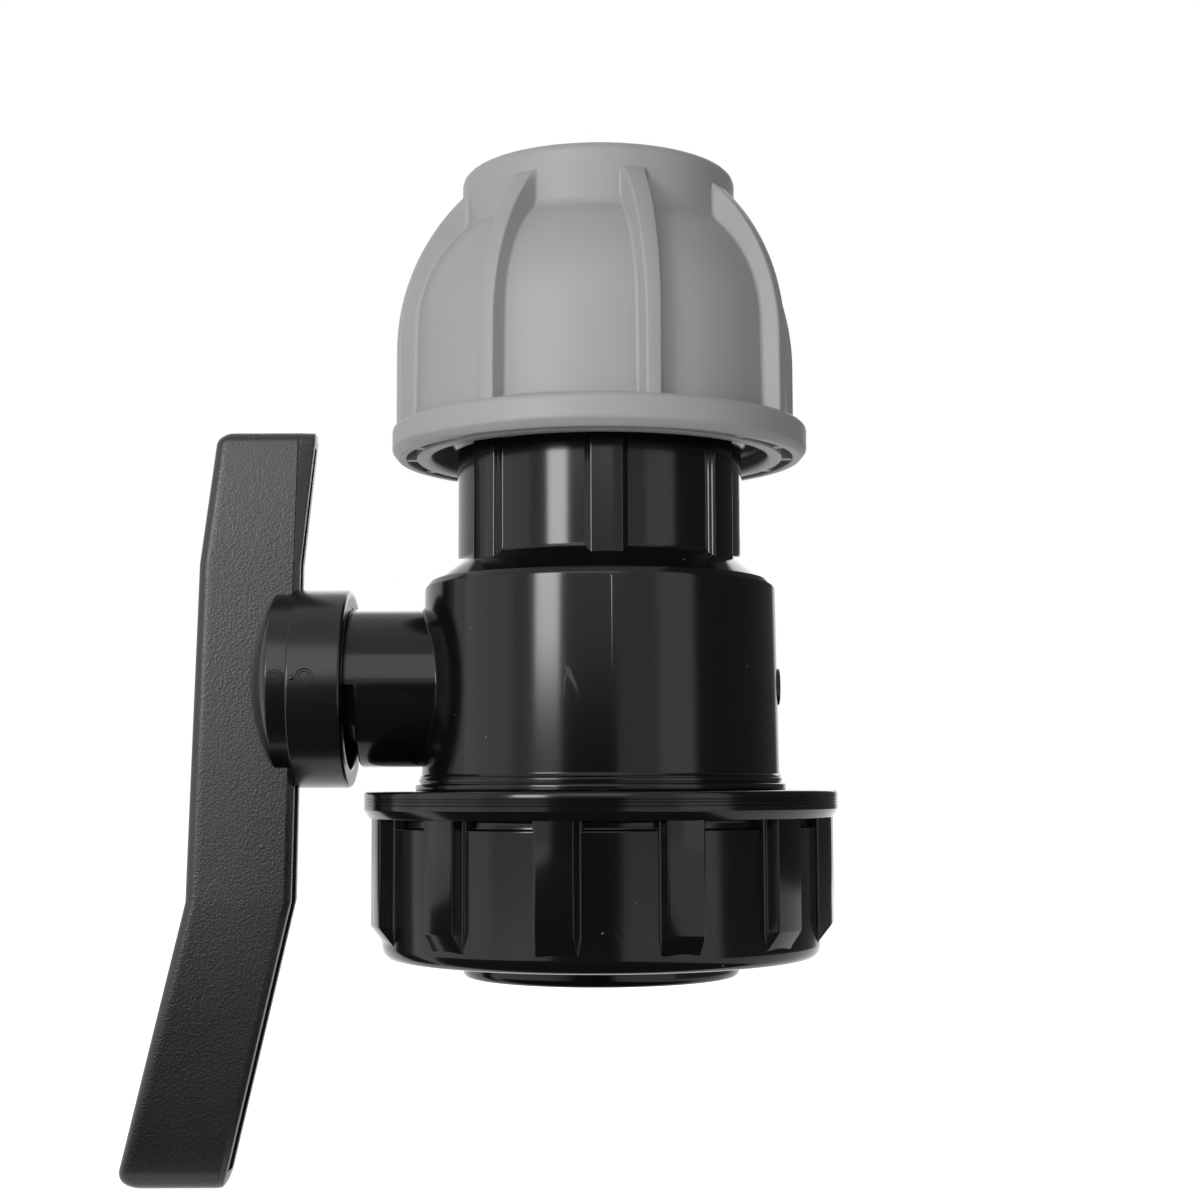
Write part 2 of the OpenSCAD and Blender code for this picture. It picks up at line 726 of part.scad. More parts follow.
// One level outline of the lever, with its two outer corners rounded
function lever_level(z, x, depth, width) = let (half = width / 2, r = min(lever_round, 0.9 * half)) concat(
    [[-(x - depth), -half, z], [-(x - depth), half, z]],
    [for (p = arc([-x + r, half - r], r, 90, 180, 4)) [p[0], p[1], z]],
    [for (p = arc([-x + r, -half + r], r, 180, 270, 4)) [p[0], p[1], z]]
);

// Width of a rounded end of the lever at a share of its rounding, from 0 at the side face to 1 at the end
function end_width(width, share) = width * (1 - 0.75 * share);

// The lever as a stack of level outlines, with rounded ends
module lever_outside() {
    top = lever_stations[0];
    foot = lever_stations[3];
    tip = lever_tip_round;
    toe = lever_foot_round;
    top_levels = [
        for (a = [90:-22.5:0]) let (
            down = tip * (1 - cos(a)),
            in = tip * (1 - sin(a)),
            out = top[1] + down * lever_slope_up - in
        )
        lever_level(top[0] - down, out, top[2] - in, end_width(top[3], in / tip))
    ];
    foot_levels = [
        for (a = [0:22.5:90]) let (
            up = toe * (1 - cos(a)),
            in = toe * (1 - sin(a)),
            out = foot[1] - up * lever_slope_down - in
        )
        lever_level(foot[0] + up, out, foot[2] - in * 1.2, end_width(foot[3], in / toe))
    ];
    mid_levels = [for (i = [2, 1]) let (s = lever_stations[i]) lever_level(s[0], s[1], s[2], s[3])];
    translate([0, 0, axis_z]) loft(concat(foot_levels, mid_levels, top_levels));
}

// The hollow of the lever, open towards the valve
module lever_channel() {
    top = lever_stations[0];
    foot = lever_stations[3];
    web = lever_wall + 0.4;
    open = 2 * lever_depth;
    end_in = lever_wall + 0.4;
    function channel_level(z, x, width) = let (half = width / 2 - lever_wall) [
        [-(x - open), -half, z], [-(x - open), half, z], [-(x - web), half, z], [-(x - web), -half, z]
    ];
    translate([0, 0, axis_z]) loft([
        channel_level(foot[0] + end_in, foot[1] - end_in * lever_slope_down, foot[3]),
        for (i = [2, 1]) let (s = lever_stations[i]) channel_level(s[0], s[1], s[3]),
        channel_level(top[0] - end_in, top[1] + end_in * lever_slope_up, top[3]),
    ]);
}

// Round hub of the handle, solid but for the hollow that takes the stop
module hub() {
    dome = arc([0, dome_centre], hub_dome_arc, asin((hub_edge - dome_centre) / hub_dome_arc), 90, 8);
    on_stem_axis() rotate_extrude() polygon(concat(
        [
            [0, hub_core],
            [hub_hollow_r, hub_core],
            [hub_hollow_r, hub_back],
            [hub_r - 0.4, hub_back],
            [hub_r, hub_back + 0.4],
            [hub_r, hub_parting - 0.1],
            [hub_front_r, hub_parting],
            [hub_front_r, hub_edge - 0.8],
        ],
        dome
    ));
}

// Quarter-round lug in the hub that runs against the two ends of the tower stop
module hub_lug() {
    play = 0.12;
    on_stem_axis() intersection() {
        difference() {
            translate([0, 0, hub_back + 0.2]) cylinder(r = hub_hollow_r + 1, h = hub_core - hub_back + 0.2);
            cylinder(r = stem_r + 0.4, h = hub_core);
        }
        translate([play, play, 0]) cube([2 * hub_r, 2 * hub_r, hub_core + cut]);
    }
}

module handle() {
    socket_w = square_w + 0.2;
    boss_r = lever_w / 2 - lever_wall + 0.5;
    color(black_pp) difference() {
        union() {
            difference() {
                lever_outside();
                lever_channel();
                on_stem_axis() cylinder(r = hub_hollow_r, h = hub_core);
            }
            hub();
            hub_lug();
            on_stem_axis() translate([0, 0, hub_edge])
                cylinder(r = boss_r, h = lever_x - lever_wall - hub_edge);
        }
        on_stem_axis() translate([-socket_w / 2, -socket_w / 2, hub_core - cut])
            cube([socket_w, socket_w, square_len + cut]);
    }
}

// Dome, collar and rim of the compression nut, with its bores
module nut_shell() {
    arc_r = dome_r - dome_draft - dome_arc;
    arc_z = nut_z + dome_start;
    fillet_r = nut_collar_r + dome_fillet;
    fillet_z = arc_z + sqrt(pow(dome_arc + dome_fillet, 2) - pow(fillet_r - arc_r, 2));
    meet = atan2(fillet_z - arc_z, fillet_r - arc_r);
    nut_top_z = nut_z + nut_h;
    rotate_extrude() polygon(concat(
        [
            [nut_bore_r + 0.8, nut_z],
            [nut_rim_r - nut_rim_chamfer, nut_z],
            [nut_rim_r, nut_z + nut_rim_chamfer],
            [nut_rim_r, nut_z + nut_rim_h - 0.6],
            [nut_rim_r - 0.6, nut_z + nut_rim_h],
            [dome_r, nut_z + nut_rim_h],
        ],
        arc([arc_r, arc_z], dome_arc, 0, meet, 12),
        arc([fillet_r, fillet_z], dome_fillet, 180 + meet, 180, 5),
        arc([nut_collar_r - 1.3, nut_top_z - 1.3], 1.3, 0, 90, 4),
        [
            [nut_hole_r + 0.6, nut_top_z],
            [nut_hole_r, nut_top_z - 0.6],
            [nut_hole_r, clinch_top_z + 0.5],
            [clinch_tip_r + clinch_gap, clinch_top_z + 0.5],
            [clinch_base_r + clinch_gap, clinch_z],
            [nut_bore_r, nut_bore_top_z],
            [nut_bore_r, nut_z + 0.8],
        ]
    ));
}

// One rib of the compression nut, at the front, as a loft from root to crest
module nut_rib() {
    crest_r = dome_r + nut_rib_out;
    crest_arc_r = crest_r - nut_rib_arc;
    crest_z = nut_z + nut_rib_start;
    end_angle = acos((nut_collar_r + 1 - crest_arc_r) / nut_rib_arc);
    crest = concat(
        [[crest_r, nut_z + nut_rim_h - 0.5]],
        arc([crest_arc_r, crest_z], nut_rib_arc, 0, end_angle, 12)
    );
    root_r = nut_collar_r - 1.5;
    root_arc_r = dome_r - dome_draft - dome_arc;
    root_z = nut_z + dome_start;
    // Root of the rib behind a point of the crest, just under the skin of the dome
    function under_skin(p) = let (
        rise = p[1] - root_z,
        skin = rise <= 0 ? dome_r - dome_draft : root_arc_r + sqrt(max(0, dome_arc * dome_arc - rise * rise))
    ) max(root_r, min(skin - 0.8, p[0] - 0.5));
    loft([
        for (p = crest) let (r = under_skin(p)) [
            [-nut_rib_t / 2, -p[0], p[1]],
            [nut_rib_t / 2, -p[0], p[1]],
            [nut_rib_root / 2, -r, p[1]],
            [-nut_rib_root / 2, -r, p[1]],
        ]
    ]);
}

module compression_nut() {
    pocket_in_r = nut_bore_r + 2.4;
    pocket_out_r = nut_rim_r - 2.2;
    web = 1.6;
    color(grey_pp) union() {
        difference() {
            nut_shell();
            difference() {
                ring(pocket_out_r, pocket_in_r, nut_z - cut, nut_pocket_depth + cut);
                for (k = [0:nut_pockets - 1])
                    rotate(360 * k / nut_pockets)
                        translate([0, -web / 2, nut_z - 2 * cut])
                            cube([nut_rim_r, web, nut_pocket_depth + 4 * cut]);
            }
        }
        for (k = [0:nut_ribs - 1]) rotate(nut_rib_turn + 360 * k / nut_ribs) nut_rib();
    }
}

module clinch_ring() {
    pitch = (clinch_h - 2) / clinch_teeth;
    tip_r = pipe_r + inner_gap;
    teeth = [
        for (k = [clinch_teeth - 1:-1:0]) let (z = clinch_z + 1 + k * pitch)
        each [[tip_r, z + pitch], [tip_r + clinch_tooth, z + pitch - 0.01], [tip_r, z + 0.3]]
    ];
    color(white_acetal) difference() {
        rotate_extrude() polygon(concat(
            [[tip_r, clinch_z], [clinch_base_r - 0.5, clinch_z], [clinch_base_r, clinch_z + 0.5]],
            [[clinch_tip_r, clinch_top_z], [tip_r, clinch_top_z]],
            teeth
        ));
        translate([0, -clinch_split / 2, clinch_z - cut])
            cube([2 * clinch_base_r, clinch_split, clinch_h + 2 * cut]);
    }
}

module thrust_bush() {
    spigot_r = socket_r - 0.2;
    bore_r = pipe_r + inner_gap;
    color(black_pp) rotate_extrude() polygon([
        [bore_r, bush_z + seat_fit],
        [spigot_r, bush_z + seat_fit],
        [spigot_r, bush_flange_z],
        [spigot_r + bush_flange_out, bush_flange_z],
        [spigot_r + bush_flange_out, bush_flange_z + bush_flange_t],
        [bore_r, bush_flange_z + bush_flange_t],
    ]);
}

module pipe_o_ring() {
    color(rubber_black) o_ring(ring_in_r + pipe_cord / 2, pipe_cord, bush_z - pipe_cord / 2 - seat_fit);
}

// One lug of the union nut, at the front
module union_lug() {
    foot_z = union_nut_z + union_lug_foot;
    top_z = collar_z - union_flange_h;
    translate([-union_lug_w / 2, 0, 0]) rotate([90, 0, 90]) linear_extrude(union_lug_w) polygon([
        [-(union_nut_r - union_relief_depth - 1), foot_z],
        [-union_nut_r, foot_z],
        [-union_lug_r, foot_z + union_lug_slope],
        [-union_lug_r, top_z + 0.5],
        [-(union_nut_r - union_relief_depth - 1), top_z + 0.5],
    ]);
}

module union_nut() {
    flange_foot_z = collar_z - union_flange_h;
    relief_z = flange_foot_z - union_relief_h;
    lip_top_z = union_nut_z + union_lip;
    color(black_pp) union() {
        rotate_extrude() polygon(concat(
            [[connector_r + 0.4, union_nut_z + 0.5], [connector_r + 0.9, union_nut_z]],
            arc([union_nut_r - union_nut_round, union_nut_z + union_nut_round], union_nut_round, -90, 0, 5),
            [
                [union_nut_r, relief_z],
                [union_nut_r - union_relief_depth, relief_z],
                [union_nut_r - union_relief_depth, flange_foot_z],
                [union_flange_r - 0.8, flange_foot_z],
                [union_flange_r, flange_foot_z + 0.6],
                [union_flange_r, collar_z - 0.7],
                [union_flange_r - 0.7, collar_z],
                [union_bore_r + 0.6, collar_z],
                [union_bore_r, collar_z - 0.6],
                [union_bore_r, lip_top_z],
                [connector_r + 0.4, lip_top_z],
            ]
        ));
        for (k = [0:union_lugs - 1]) rotate(union_lug_turn + 360 * k / union_lugs) union_lug();
    }
}

module union_connector() {
    flange_r = union_bore_r - 0.5;
    color(black_pp) difference() {
        rotate_extrude() polygon([
            [0, 0],
            [connector_r - 1, 0],
            [connector_r, 1],
            [connector_r, flange_z],
            [flange_r, flange_z],
            [flange_r, flange_top_z],
            [nose_r, flange_top_z],
            [nose_r, nose_top_z - 0.5],
            [nose_r - 0.5, nose_top_z],
            [0, nose_top_z],
        ]);
        translate([0, 0, -cut]) cylinder(r = outlet_r, h = outlet_thread_depth + cut);
        translate([0, 0, -cut]) cylinder(r = way_r + seat_lip, h = nose_top_z + 2 * cut);
        face_groove_half = face_cord / 2 + seat_fit;
        translate([0, 0, flange_top_z - face_cord + union_face_gap])
            ring(face_ring_r + face_groove_half, face_ring_r - face_groove_half, 0, face_cord + cut);
    }
}

module union_face_o_ring() {
    color(rubber_black) o_ring(face_ring_r, face_cord - 0.04, body_z - face_cord / 2);
}

valve_body();
seat_carrier();
carrier_o_ring();
upper_ball_seat();
upper_seat_o_ring();
lower_ball_seat();
lower_seat_o_ring();
ball();
stem();
stem_thrust_washer();
stem_o_ring_inner();
stem_o_ring_outer();
handle();
compression_nut();
clinch_ring();
thrust_bush();
pipe_o_ring();
union_nut();
union_connector();
union_face_o_ring();
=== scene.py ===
"""Looks of a plastic shut-off ball valve, dressed round its packed construction model.

Shapes are drawn in millimetres and brought to metres as each piece is settled. +Z runs up the pipe
axis from the outlet, the stem and the lever lie towards -X, and the viewer stands at -Y.
"""

import json
import logging
import math
from collections.abc import Callable, Iterator, Sequence
from contextlib import contextmanager
from dataclasses import dataclass, field
from enum import Enum

import bmesh
import bpy
from mathutils import Matrix, Vector


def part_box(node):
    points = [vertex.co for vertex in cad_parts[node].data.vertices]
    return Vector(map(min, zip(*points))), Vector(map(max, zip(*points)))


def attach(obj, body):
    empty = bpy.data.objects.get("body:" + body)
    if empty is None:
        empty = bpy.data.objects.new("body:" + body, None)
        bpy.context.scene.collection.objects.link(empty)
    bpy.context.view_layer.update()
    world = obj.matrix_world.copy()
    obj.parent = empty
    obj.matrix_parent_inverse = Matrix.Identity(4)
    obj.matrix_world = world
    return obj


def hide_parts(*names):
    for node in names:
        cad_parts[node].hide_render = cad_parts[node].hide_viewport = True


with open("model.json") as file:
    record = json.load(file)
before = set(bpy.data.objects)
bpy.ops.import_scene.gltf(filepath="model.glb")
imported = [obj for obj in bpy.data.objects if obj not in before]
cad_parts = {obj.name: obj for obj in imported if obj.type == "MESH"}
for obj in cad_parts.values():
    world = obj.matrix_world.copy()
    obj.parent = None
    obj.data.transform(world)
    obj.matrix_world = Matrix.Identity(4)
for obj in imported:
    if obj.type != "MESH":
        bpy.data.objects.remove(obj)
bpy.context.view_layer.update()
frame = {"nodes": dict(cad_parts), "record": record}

log = logging.getLogger("ball_valve")

MM = 0.001
INCH = 25.4
TURN = 2 * math.pi
ON_AXIS = 0.001
Point = tuple[float, float]
Place = tuple[float, float, float]


def node_box(node: str) -> tuple[Vector, Vector]:
    """Lowest and highest corner of a construction solid, in millimetres."""
    low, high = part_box(node)
    return Vector(low) / MM, Vector(high) / MM


def joint_height(name: str) -> float:
    """Height of a joint's axis above the outlet mouth, in millimetres."""
    joints = frame["record"]["behaviour"]["joints"]
    return next(joint["pos_m"][2] for joint in joints if joint["name"] == name) / MM


STEM_HEIGHT = joint_height("handle_turn")


class Axis(Enum):
    """The two lines that the valve's round pieces are turned about."""

    PIPE = "pipe"
    STEM = "stem"

    @property
    def direction(self) -> Place:
        """Unit vector along the axis, away from the outlet or out of the body."""
        return (0, 0, 1) if self is Axis.PIPE else (-1, 0, 0)

    @property
    def centre(self) -> Place:
        """A point on the axis."""
        return (0, 0, 0) if self is Axis.PIPE else (0, 0, STEM_HEIGHT)

    def place(self, across: float, along: float) -> Vector:
        """Put a point of an outline beside the axis.

        Args:
            across: Distance from the axis.
            along: Distance along the axis.

        Returns:
            The point, in front of the pipe axis or above the stem axis.
        """
        if self is Axis.PIPE:
            return Vector((0, -across, along))
        return Vector((-along, 0, STEM_HEIGHT + across))


@dataclass(frozen=True)
class Corner:
    """A corner of an outline, and the radius that the mould gives it."""

    across: float
    along: float
    fillet: float = 0.0


def arc(centre: Point, radius: float, start: float, end: float, steps: int) -> list[Corner]:
    """Corners on an arc, between two angles in degrees from the direction across."""
    angles = [math.radians(start + (end - start) * step / steps) for step in range(steps + 1)]
    return [Corner(centre[0] + radius * math.cos(a), centre[1] + radius * math.sin(a)) for a in angles]


def quarter(steps: int) -> list[Point]:
    """Shares along a quarter round: what is left of its run and what is done of its rise."""
    angles = [math.radians(90 * step / steps) for step in range(steps + 1)]
    return [(1 - math.sin(angle), 1 - math.cos(angle)) for angle in angles]


def evenly(count: int, first: float = 0.0) -> list[float]:
    """Angles in degrees that share out a full turn, from the first one on."""
    return [first + 360 * number / count for number in range(count)]


def eased(corners: Sequence[Corner], steps: int = 3) -> list[Point]:
    """Round the corners of a closed outline.

    Args:
        corners: The outline's corners in order.
        steps: Stretches in each rounded corner.

    Returns:
        The points of the rounded outline.
    """
    points: list[Point] = []
    for index, corner in enumerate(corners):
        here = Vector((corner.across, corner.along))
        if corner.fillet <= 0:
            points.append(tuple(here))
            continue
        before = corners[index - 1]
        after = corners[(index + 1) % len(corners)]
        back = (Vector((before.across, before.along)) - here).normalized()
        onward = (Vector((after.across, after.along)) - here).normalized()
        half_angle = back.angle(onward) / 2
        middle = here + (back + onward).normalized() * corner.fillet / math.sin(half_angle)
        first = here + back * corner.fillet / math.tan(half_angle) - middle
        last = here + onward * corner.fillet / math.tan(half_angle) - middle
        for step in range(steps + 1):
            points.append(tuple(middle + first.slerp(last, step / steps) * corner.fillet))
    return held(points)


def held(points: Sequence[Point], long: float = 2.4, inset: float = 0.2) -> list[Point]:
    """Hold the long straight runs of a closed outline flat with a point near each end.

    Args:
        points: The points of the outline in order.
        long: Shortest run that is held.
        inset: Distance of the new points from the ends of the run.

    Returns:
        The points with those that hold the runs.
    """
    firm: list[Point] = []
    for index, point in enumerate(points):
        firm.append(point)
        start = Vector(point)
        run = Vector(points[(index + 1) % len(points)]) - start
        on_axis = abs(start.x) < ON_AXIS and abs(run.x) < ON_AXIS
        if run.length > long and not on_axis:
            firm.append(tuple(start + run.normalized() * inset))
            firm.append(tuple(start + run - run.normalized() * inset))
    return firm


@contextmanager
def opened(piece: bpy.types.Object) -> Iterator[bmesh.types.BMesh]:
    """Open the mesh of a piece in edit mode, and take the changes over at the end.

    Args:
        piece: The piece in edit mode.

    Yields:
        Its mesh.
    """
    shape = bmesh.from_edit_mesh(piece.data)
    yield shape
    bmesh.update_edit_mesh(piece.data)


class Bench:
    """Modelling steps done as by hand, each on the piece in work."""

    @staticmethod
    def clear() -> None:
        """Leave edit mode and select nothing."""
        if bpy.context.object and bpy.context.object.mode != "OBJECT":
            bpy.ops.object.mode_set(mode="OBJECT")
        bpy.ops.object.select_all(action="DESELECT")

    @classmethod
    def take(cls, piece: bpy.types.Object) -> None:
        """Take one piece into work, in object mode and with nothing else selected.

        Args:
            piece: The piece.
        """
        cls.clear()
        bpy.context.view_layer.objects.active = piece
        piece.select_set(True)

    @staticmethod
    def settle() -> bpy.types.Object:
        """Put the place, turn and scale of the piece in work into its mesh."""
        bpy.ops.object.transform_apply(location=True, rotation=True, scale=True)
        return bpy.context.object

    @classmethod
    def block(cls, middle: Place, size: Place) -> bpy.types.Object:
        """Set a block.

        Args:
            middle: Its middle.
            size: Its sides.

        Returns:
            The block.
        """
        cls.clear()
        bpy.ops.mesh.primitive_cube_add(size=1, location=middle)
        bpy.context.object.scale = size
        return cls.settle()

    @classmethod
    def peg(cls, radius: float, start: float, end: float, sides: int) -> bpy.types.Object:
        """Set a round peg along the stem axis.

        Args:
            radius: Its radius.
            start: Place of its first end along +X.
            end: Place of its other end.
            sides: Number of faces round it.

        Returns:
            The peg.
        """
        cls.clear()
        bpy.ops.mesh.primitive_cylinder_add(
            vertices=sides, radius=radius, depth=end - start,
            location=((start + end) / 2, 0, STEM_HEIGHT), rotation=(0, math.radians(90), 0),
        )
        return cls.settle()

    @staticmethod
    def pick(piece: bpy.types.Object, wanted: Callable[[bmesh.types.BMFace], bool]) -> None:
        """Select the wanted faces of a piece and nothing else.

        Args:
            piece: The piece in edit mode.
            wanted: Says of a face whether it is wanted.
        """
        bpy.ops.mesh.select_mode(type="FACE")
        bpy.ops.mesh.select_all(action="DESELECT")
        with opened(piece) as shape:
            for face in shape.faces:
                face.select = wanted(face)

    @classmethod
    def draw(cls, name: str, points: Sequence[Vector], closed: bool = True) -> bpy.types.Object:
        """Draw an outline by extruding one vertex from point to point.

        Args:
            name: Name of the piece.
            points: The outline's points in space.
            closed: Whether the last point joins the first.

        Returns:
            The piece, in edit mode and selected all over.
        """
        cls.clear()
        bpy.ops.mesh.primitive_plane_add(size=1)
        piece = bpy.context.object
        piece.name = piece.data.name = name
        bpy.ops.object.mode_set(mode="EDIT")
        bpy.ops.mesh.select_mode(type="VERT")
        bpy.ops.mesh.select_all(action="SELECT")
        bpy.ops.mesh.merge(type="CENTER")
        bpy.ops.transform.translate(value=points[0])
        for here, there in zip(points, points[1:]):
            bpy.ops.mesh.extrude_vertices_move(TRANSFORM_OT_translate={"value": there - here})
        if closed:
            bpy.ops.mesh.select_all(action="DESELECT")
            with opened(piece) as shape:
                shape.verts.ensure_lookup_table()
                shape.verts[0].select = shape.verts[-1].select = True
            bpy.ops.mesh.edge_face_add()
        bpy.ops.mesh.select_all(action="SELECT")
        return piece

    @classmethod
    def turn(
        cls, name: str, outline: Sequence[Corner], axis: Axis = Axis.PIPE, steps: int = 144
    ) -> bpy.types.Object:
        """Turn a closed outline about an axis, as on a lathe.

        Args:
            name: Name of the piece.
            outline: Corners of the section, across and along the axis; one that starts on the
                axis also ends there and stays open.
            axis: The axis that it is turned about.
            steps: Number of faces round the piece.

        Returns:
            The turned piece.
        """
        hollow = outline[0].across > 0
        piece = cls.draw(name, [axis.place(*point) for point in eased(outline)], closed=hollow)
        bpy.ops.mesh.spin(
            steps=steps, angle=TURN, center=axis.centre, axis=axis.direction, use_auto_merge=True
        )
        return cls.close(piece)

    @classmethod
    def sweep(
        cls, name: str, outline: Sequence[Corner], axis: Axis, start: float, angle: float, steps: int
    ) -> bpy.types.Object:
        """Turn a closed outline through part of a turn and close both ends.

        Args:
            name: Name of the piece.
            outline: Corners of the section, across and along the axis.
            axis: The axis that it is turned about.
            start: Angle of the first end, in degrees.
            angle: Angle of the sweep, in degrees.
            steps: Number of stretches in the sweep.

        Returns:
            The swept piece.
        """
        piece = cls.draw(name, [axis.place(*point) for point in eased(outline)])
        cls.rotate(start, axis)
        bpy.ops.mesh.edge_face_add()
        bpy.ops.mesh.spin(
            steps=steps, angle=math.radians(angle), center=axis.centre, axis=axis.direction
        )
        return cls.close(piece)

    @staticmethod
    def rotate(degrees: float, axis: Axis = Axis.PIPE) -> None:
        """Turn what is selected about an axis of the valve, by the right-hand rule.

        Args:
            degrees: Angle to turn by.
            axis: The axis to turn about.
        """
        turn = Matrix.Rotation(math.radians(degrees), 4, Vector(axis.direction))
        centre = Vector(axis.centre)
        move = Matrix.Translation(centre) @ turn @ Matrix.Translation(-centre)
        piece = bpy.context.object
        if piece.mode != "EDIT":
            piece.data.transform(move)
            return
        with opened(piece) as shape:
            for vertex in shape.verts:
                if vertex.select:
                    vertex.co = move @ vertex.co

    @classmethod
    def loft(cls, name: str, rings: Sequence[Sequence[Vector]]) -> bpy.types.Object:
        """Extrude a face through a row of rings and put each on its ring.

        Args:
            name: Name of the piece.
            rings: Rings of points, each with the same number.

        Returns:
            The lofted piece, closed at both ends.
        """
        cls.clear()
        bpy.ops.mesh.primitive_circle_add(vertices=len(rings[0]), fill_type="NGON")
        piece = bpy.context.object
        piece.name = piece.data.name = name
        bpy.ops.object.mode_set(mode="EDIT")
        bpy.ops.mesh.select_mode(type="FACE")
        bpy.ops.mesh.select_all(action="SELECT")
        for index, ring in enumerate(rings):
            if index:
                bpy.ops.mesh.extrude_region_move(TRANSFORM_OT_translate={"value": (0, 0, 1)})
            with opened(piece) as shape:
                end = next(face for face in shape.faces if face.select)
                for vertex, point in zip(end.verts, ring):
                    vertex.co = point
        bpy.ops.mesh.select_mode(type="VERT")
        return cls.close(piece)

    @classmethod
    def close(cls, piece: bpy.types.Object) -> bpy.types.Object:
        """Merge doubled points, point the faces outwards and leave edit mode.

        Args:
            piece: The piece in edit mode.

        Returns:
            The same piece in object mode.
        """
        bpy.ops.mesh.select_all(action="SELECT")
        bpy.ops.mesh.remove_doubles(threshold=0.0005)
        bpy.ops.mesh.normals_make_consistent(inside=False)
        bpy.ops.object.mode_set(mode="OBJECT")
        return piece

    @classmethod
    def copies(cls, piece: bpy.types.Object, angles: Sequence[float]) -> list[bpy.types.Object]:
        """Repeat a piece round the pipe axis, each copy with its own mesh.

        Args:
            piece: The piece as modelled at the front.
            angles: The angle of each copy in degrees.

        Returns:
            The turned copies; the piece itself becomes the first.
        """
        made = [piece]
        for _ in angles[1:]:
            cls.take(piece)
            bpy.ops.object.duplicate(linked=False)
            made.append(bpy.context.object)
        for copy, angle in zip(made, angles):
            cls.take(copy)
            cls.rotate(angle)
        return made

    @classmethod
    def cut(cls, piece: bpy.types.Object, tool: bpy.types.Object) -> bpy.types.Object:
        """Cut a tool's shape out of a piece with a Boolean modifier.

        Args:
            piece: The piece to cut.
            tool: The closed shape that is taken away, and then removed.

        Returns:
            The cut piece.
        """
        cls.take(piece)
        modifier = piece.modifiers.new("cut", "BOOLEAN")
        modifier.operation = "DIFFERENCE"
        modifier.object = tool
        modifier.solver = "EXACT"
        bpy.ops.object.modifier_apply(modifier=modifier.name)
        bpy.data.objects.remove(tool)
        return piece

    @classmethod
    def join(cls, pieces: Sequence[bpy.types.Object], smooth_under: float = 32) -> bpy.types.Object:
        """Join shells into one piece, shade it and bring it to metres.

        Args:
            pieces: The shells, of which the first gives the name.
            smooth_under: Angle in degrees under which faces shade smoothly.

        Returns:
            The settled piece, with its object at the origin.
        """
        cls.clear()
        for shell in pieces:
            shell.select_set(True)
        bpy.context.view_layer.objects.active = pieces[0]
        if len(pieces) > 1:
            bpy.ops.object.join()
        bpy.context.object.scale = (MM, MM, MM)
        piece = cls.settle()
        bpy.ops.object.shade_smooth_by_angle(angle=math.radians(smooth_under), keep_sharp_edges=False)
        cls.clear()
        return piece


@dataclass(frozen=True)
class ScrewThread:
    """A right-hand thread: where its ridge has root and crest, half its widths there, and its winding."""

    root_r: float
    crest_r: float
    half_root: float
    half_crest: float
    pitch: float
    turns: float
    start: float
    steps: int = 96
    run_out: int = 12
    least_rise: float = 0.02

    def wind(self, name: str) -> bpy.types.Object:
        """Wind the ridge up the pipe axis, with a run-out at each end.

        Args:
            name: Name of the piece.

        Returns:
            The ridge, closed at both ends.
        """
        section = (
            (self.root_r, -self.half_root), (self.crest_r, -self.half_crest),
            (self.crest_r, self.half_crest), (self.root_r, self.half_root),
        )
        count = round(self.turns * self.steps)
        rings = []
        for step in range(count + 1):
            fade = min(1.0, step / self.run_out, (count - step) / self.run_out)
            angle = TURN * step / self.steps
            ring = []
            for across, along in section:
                radius = self.root_r + (across - self.root_r) * max(fade, self.least_rise)
                height = self.start + along + self.pitch * step / self.steps
                ring.append(Vector((radius * math.cos(angle), radius * math.sin(angle), height)))
            rings.append(ring)
        return Bench.loft(name, rings)


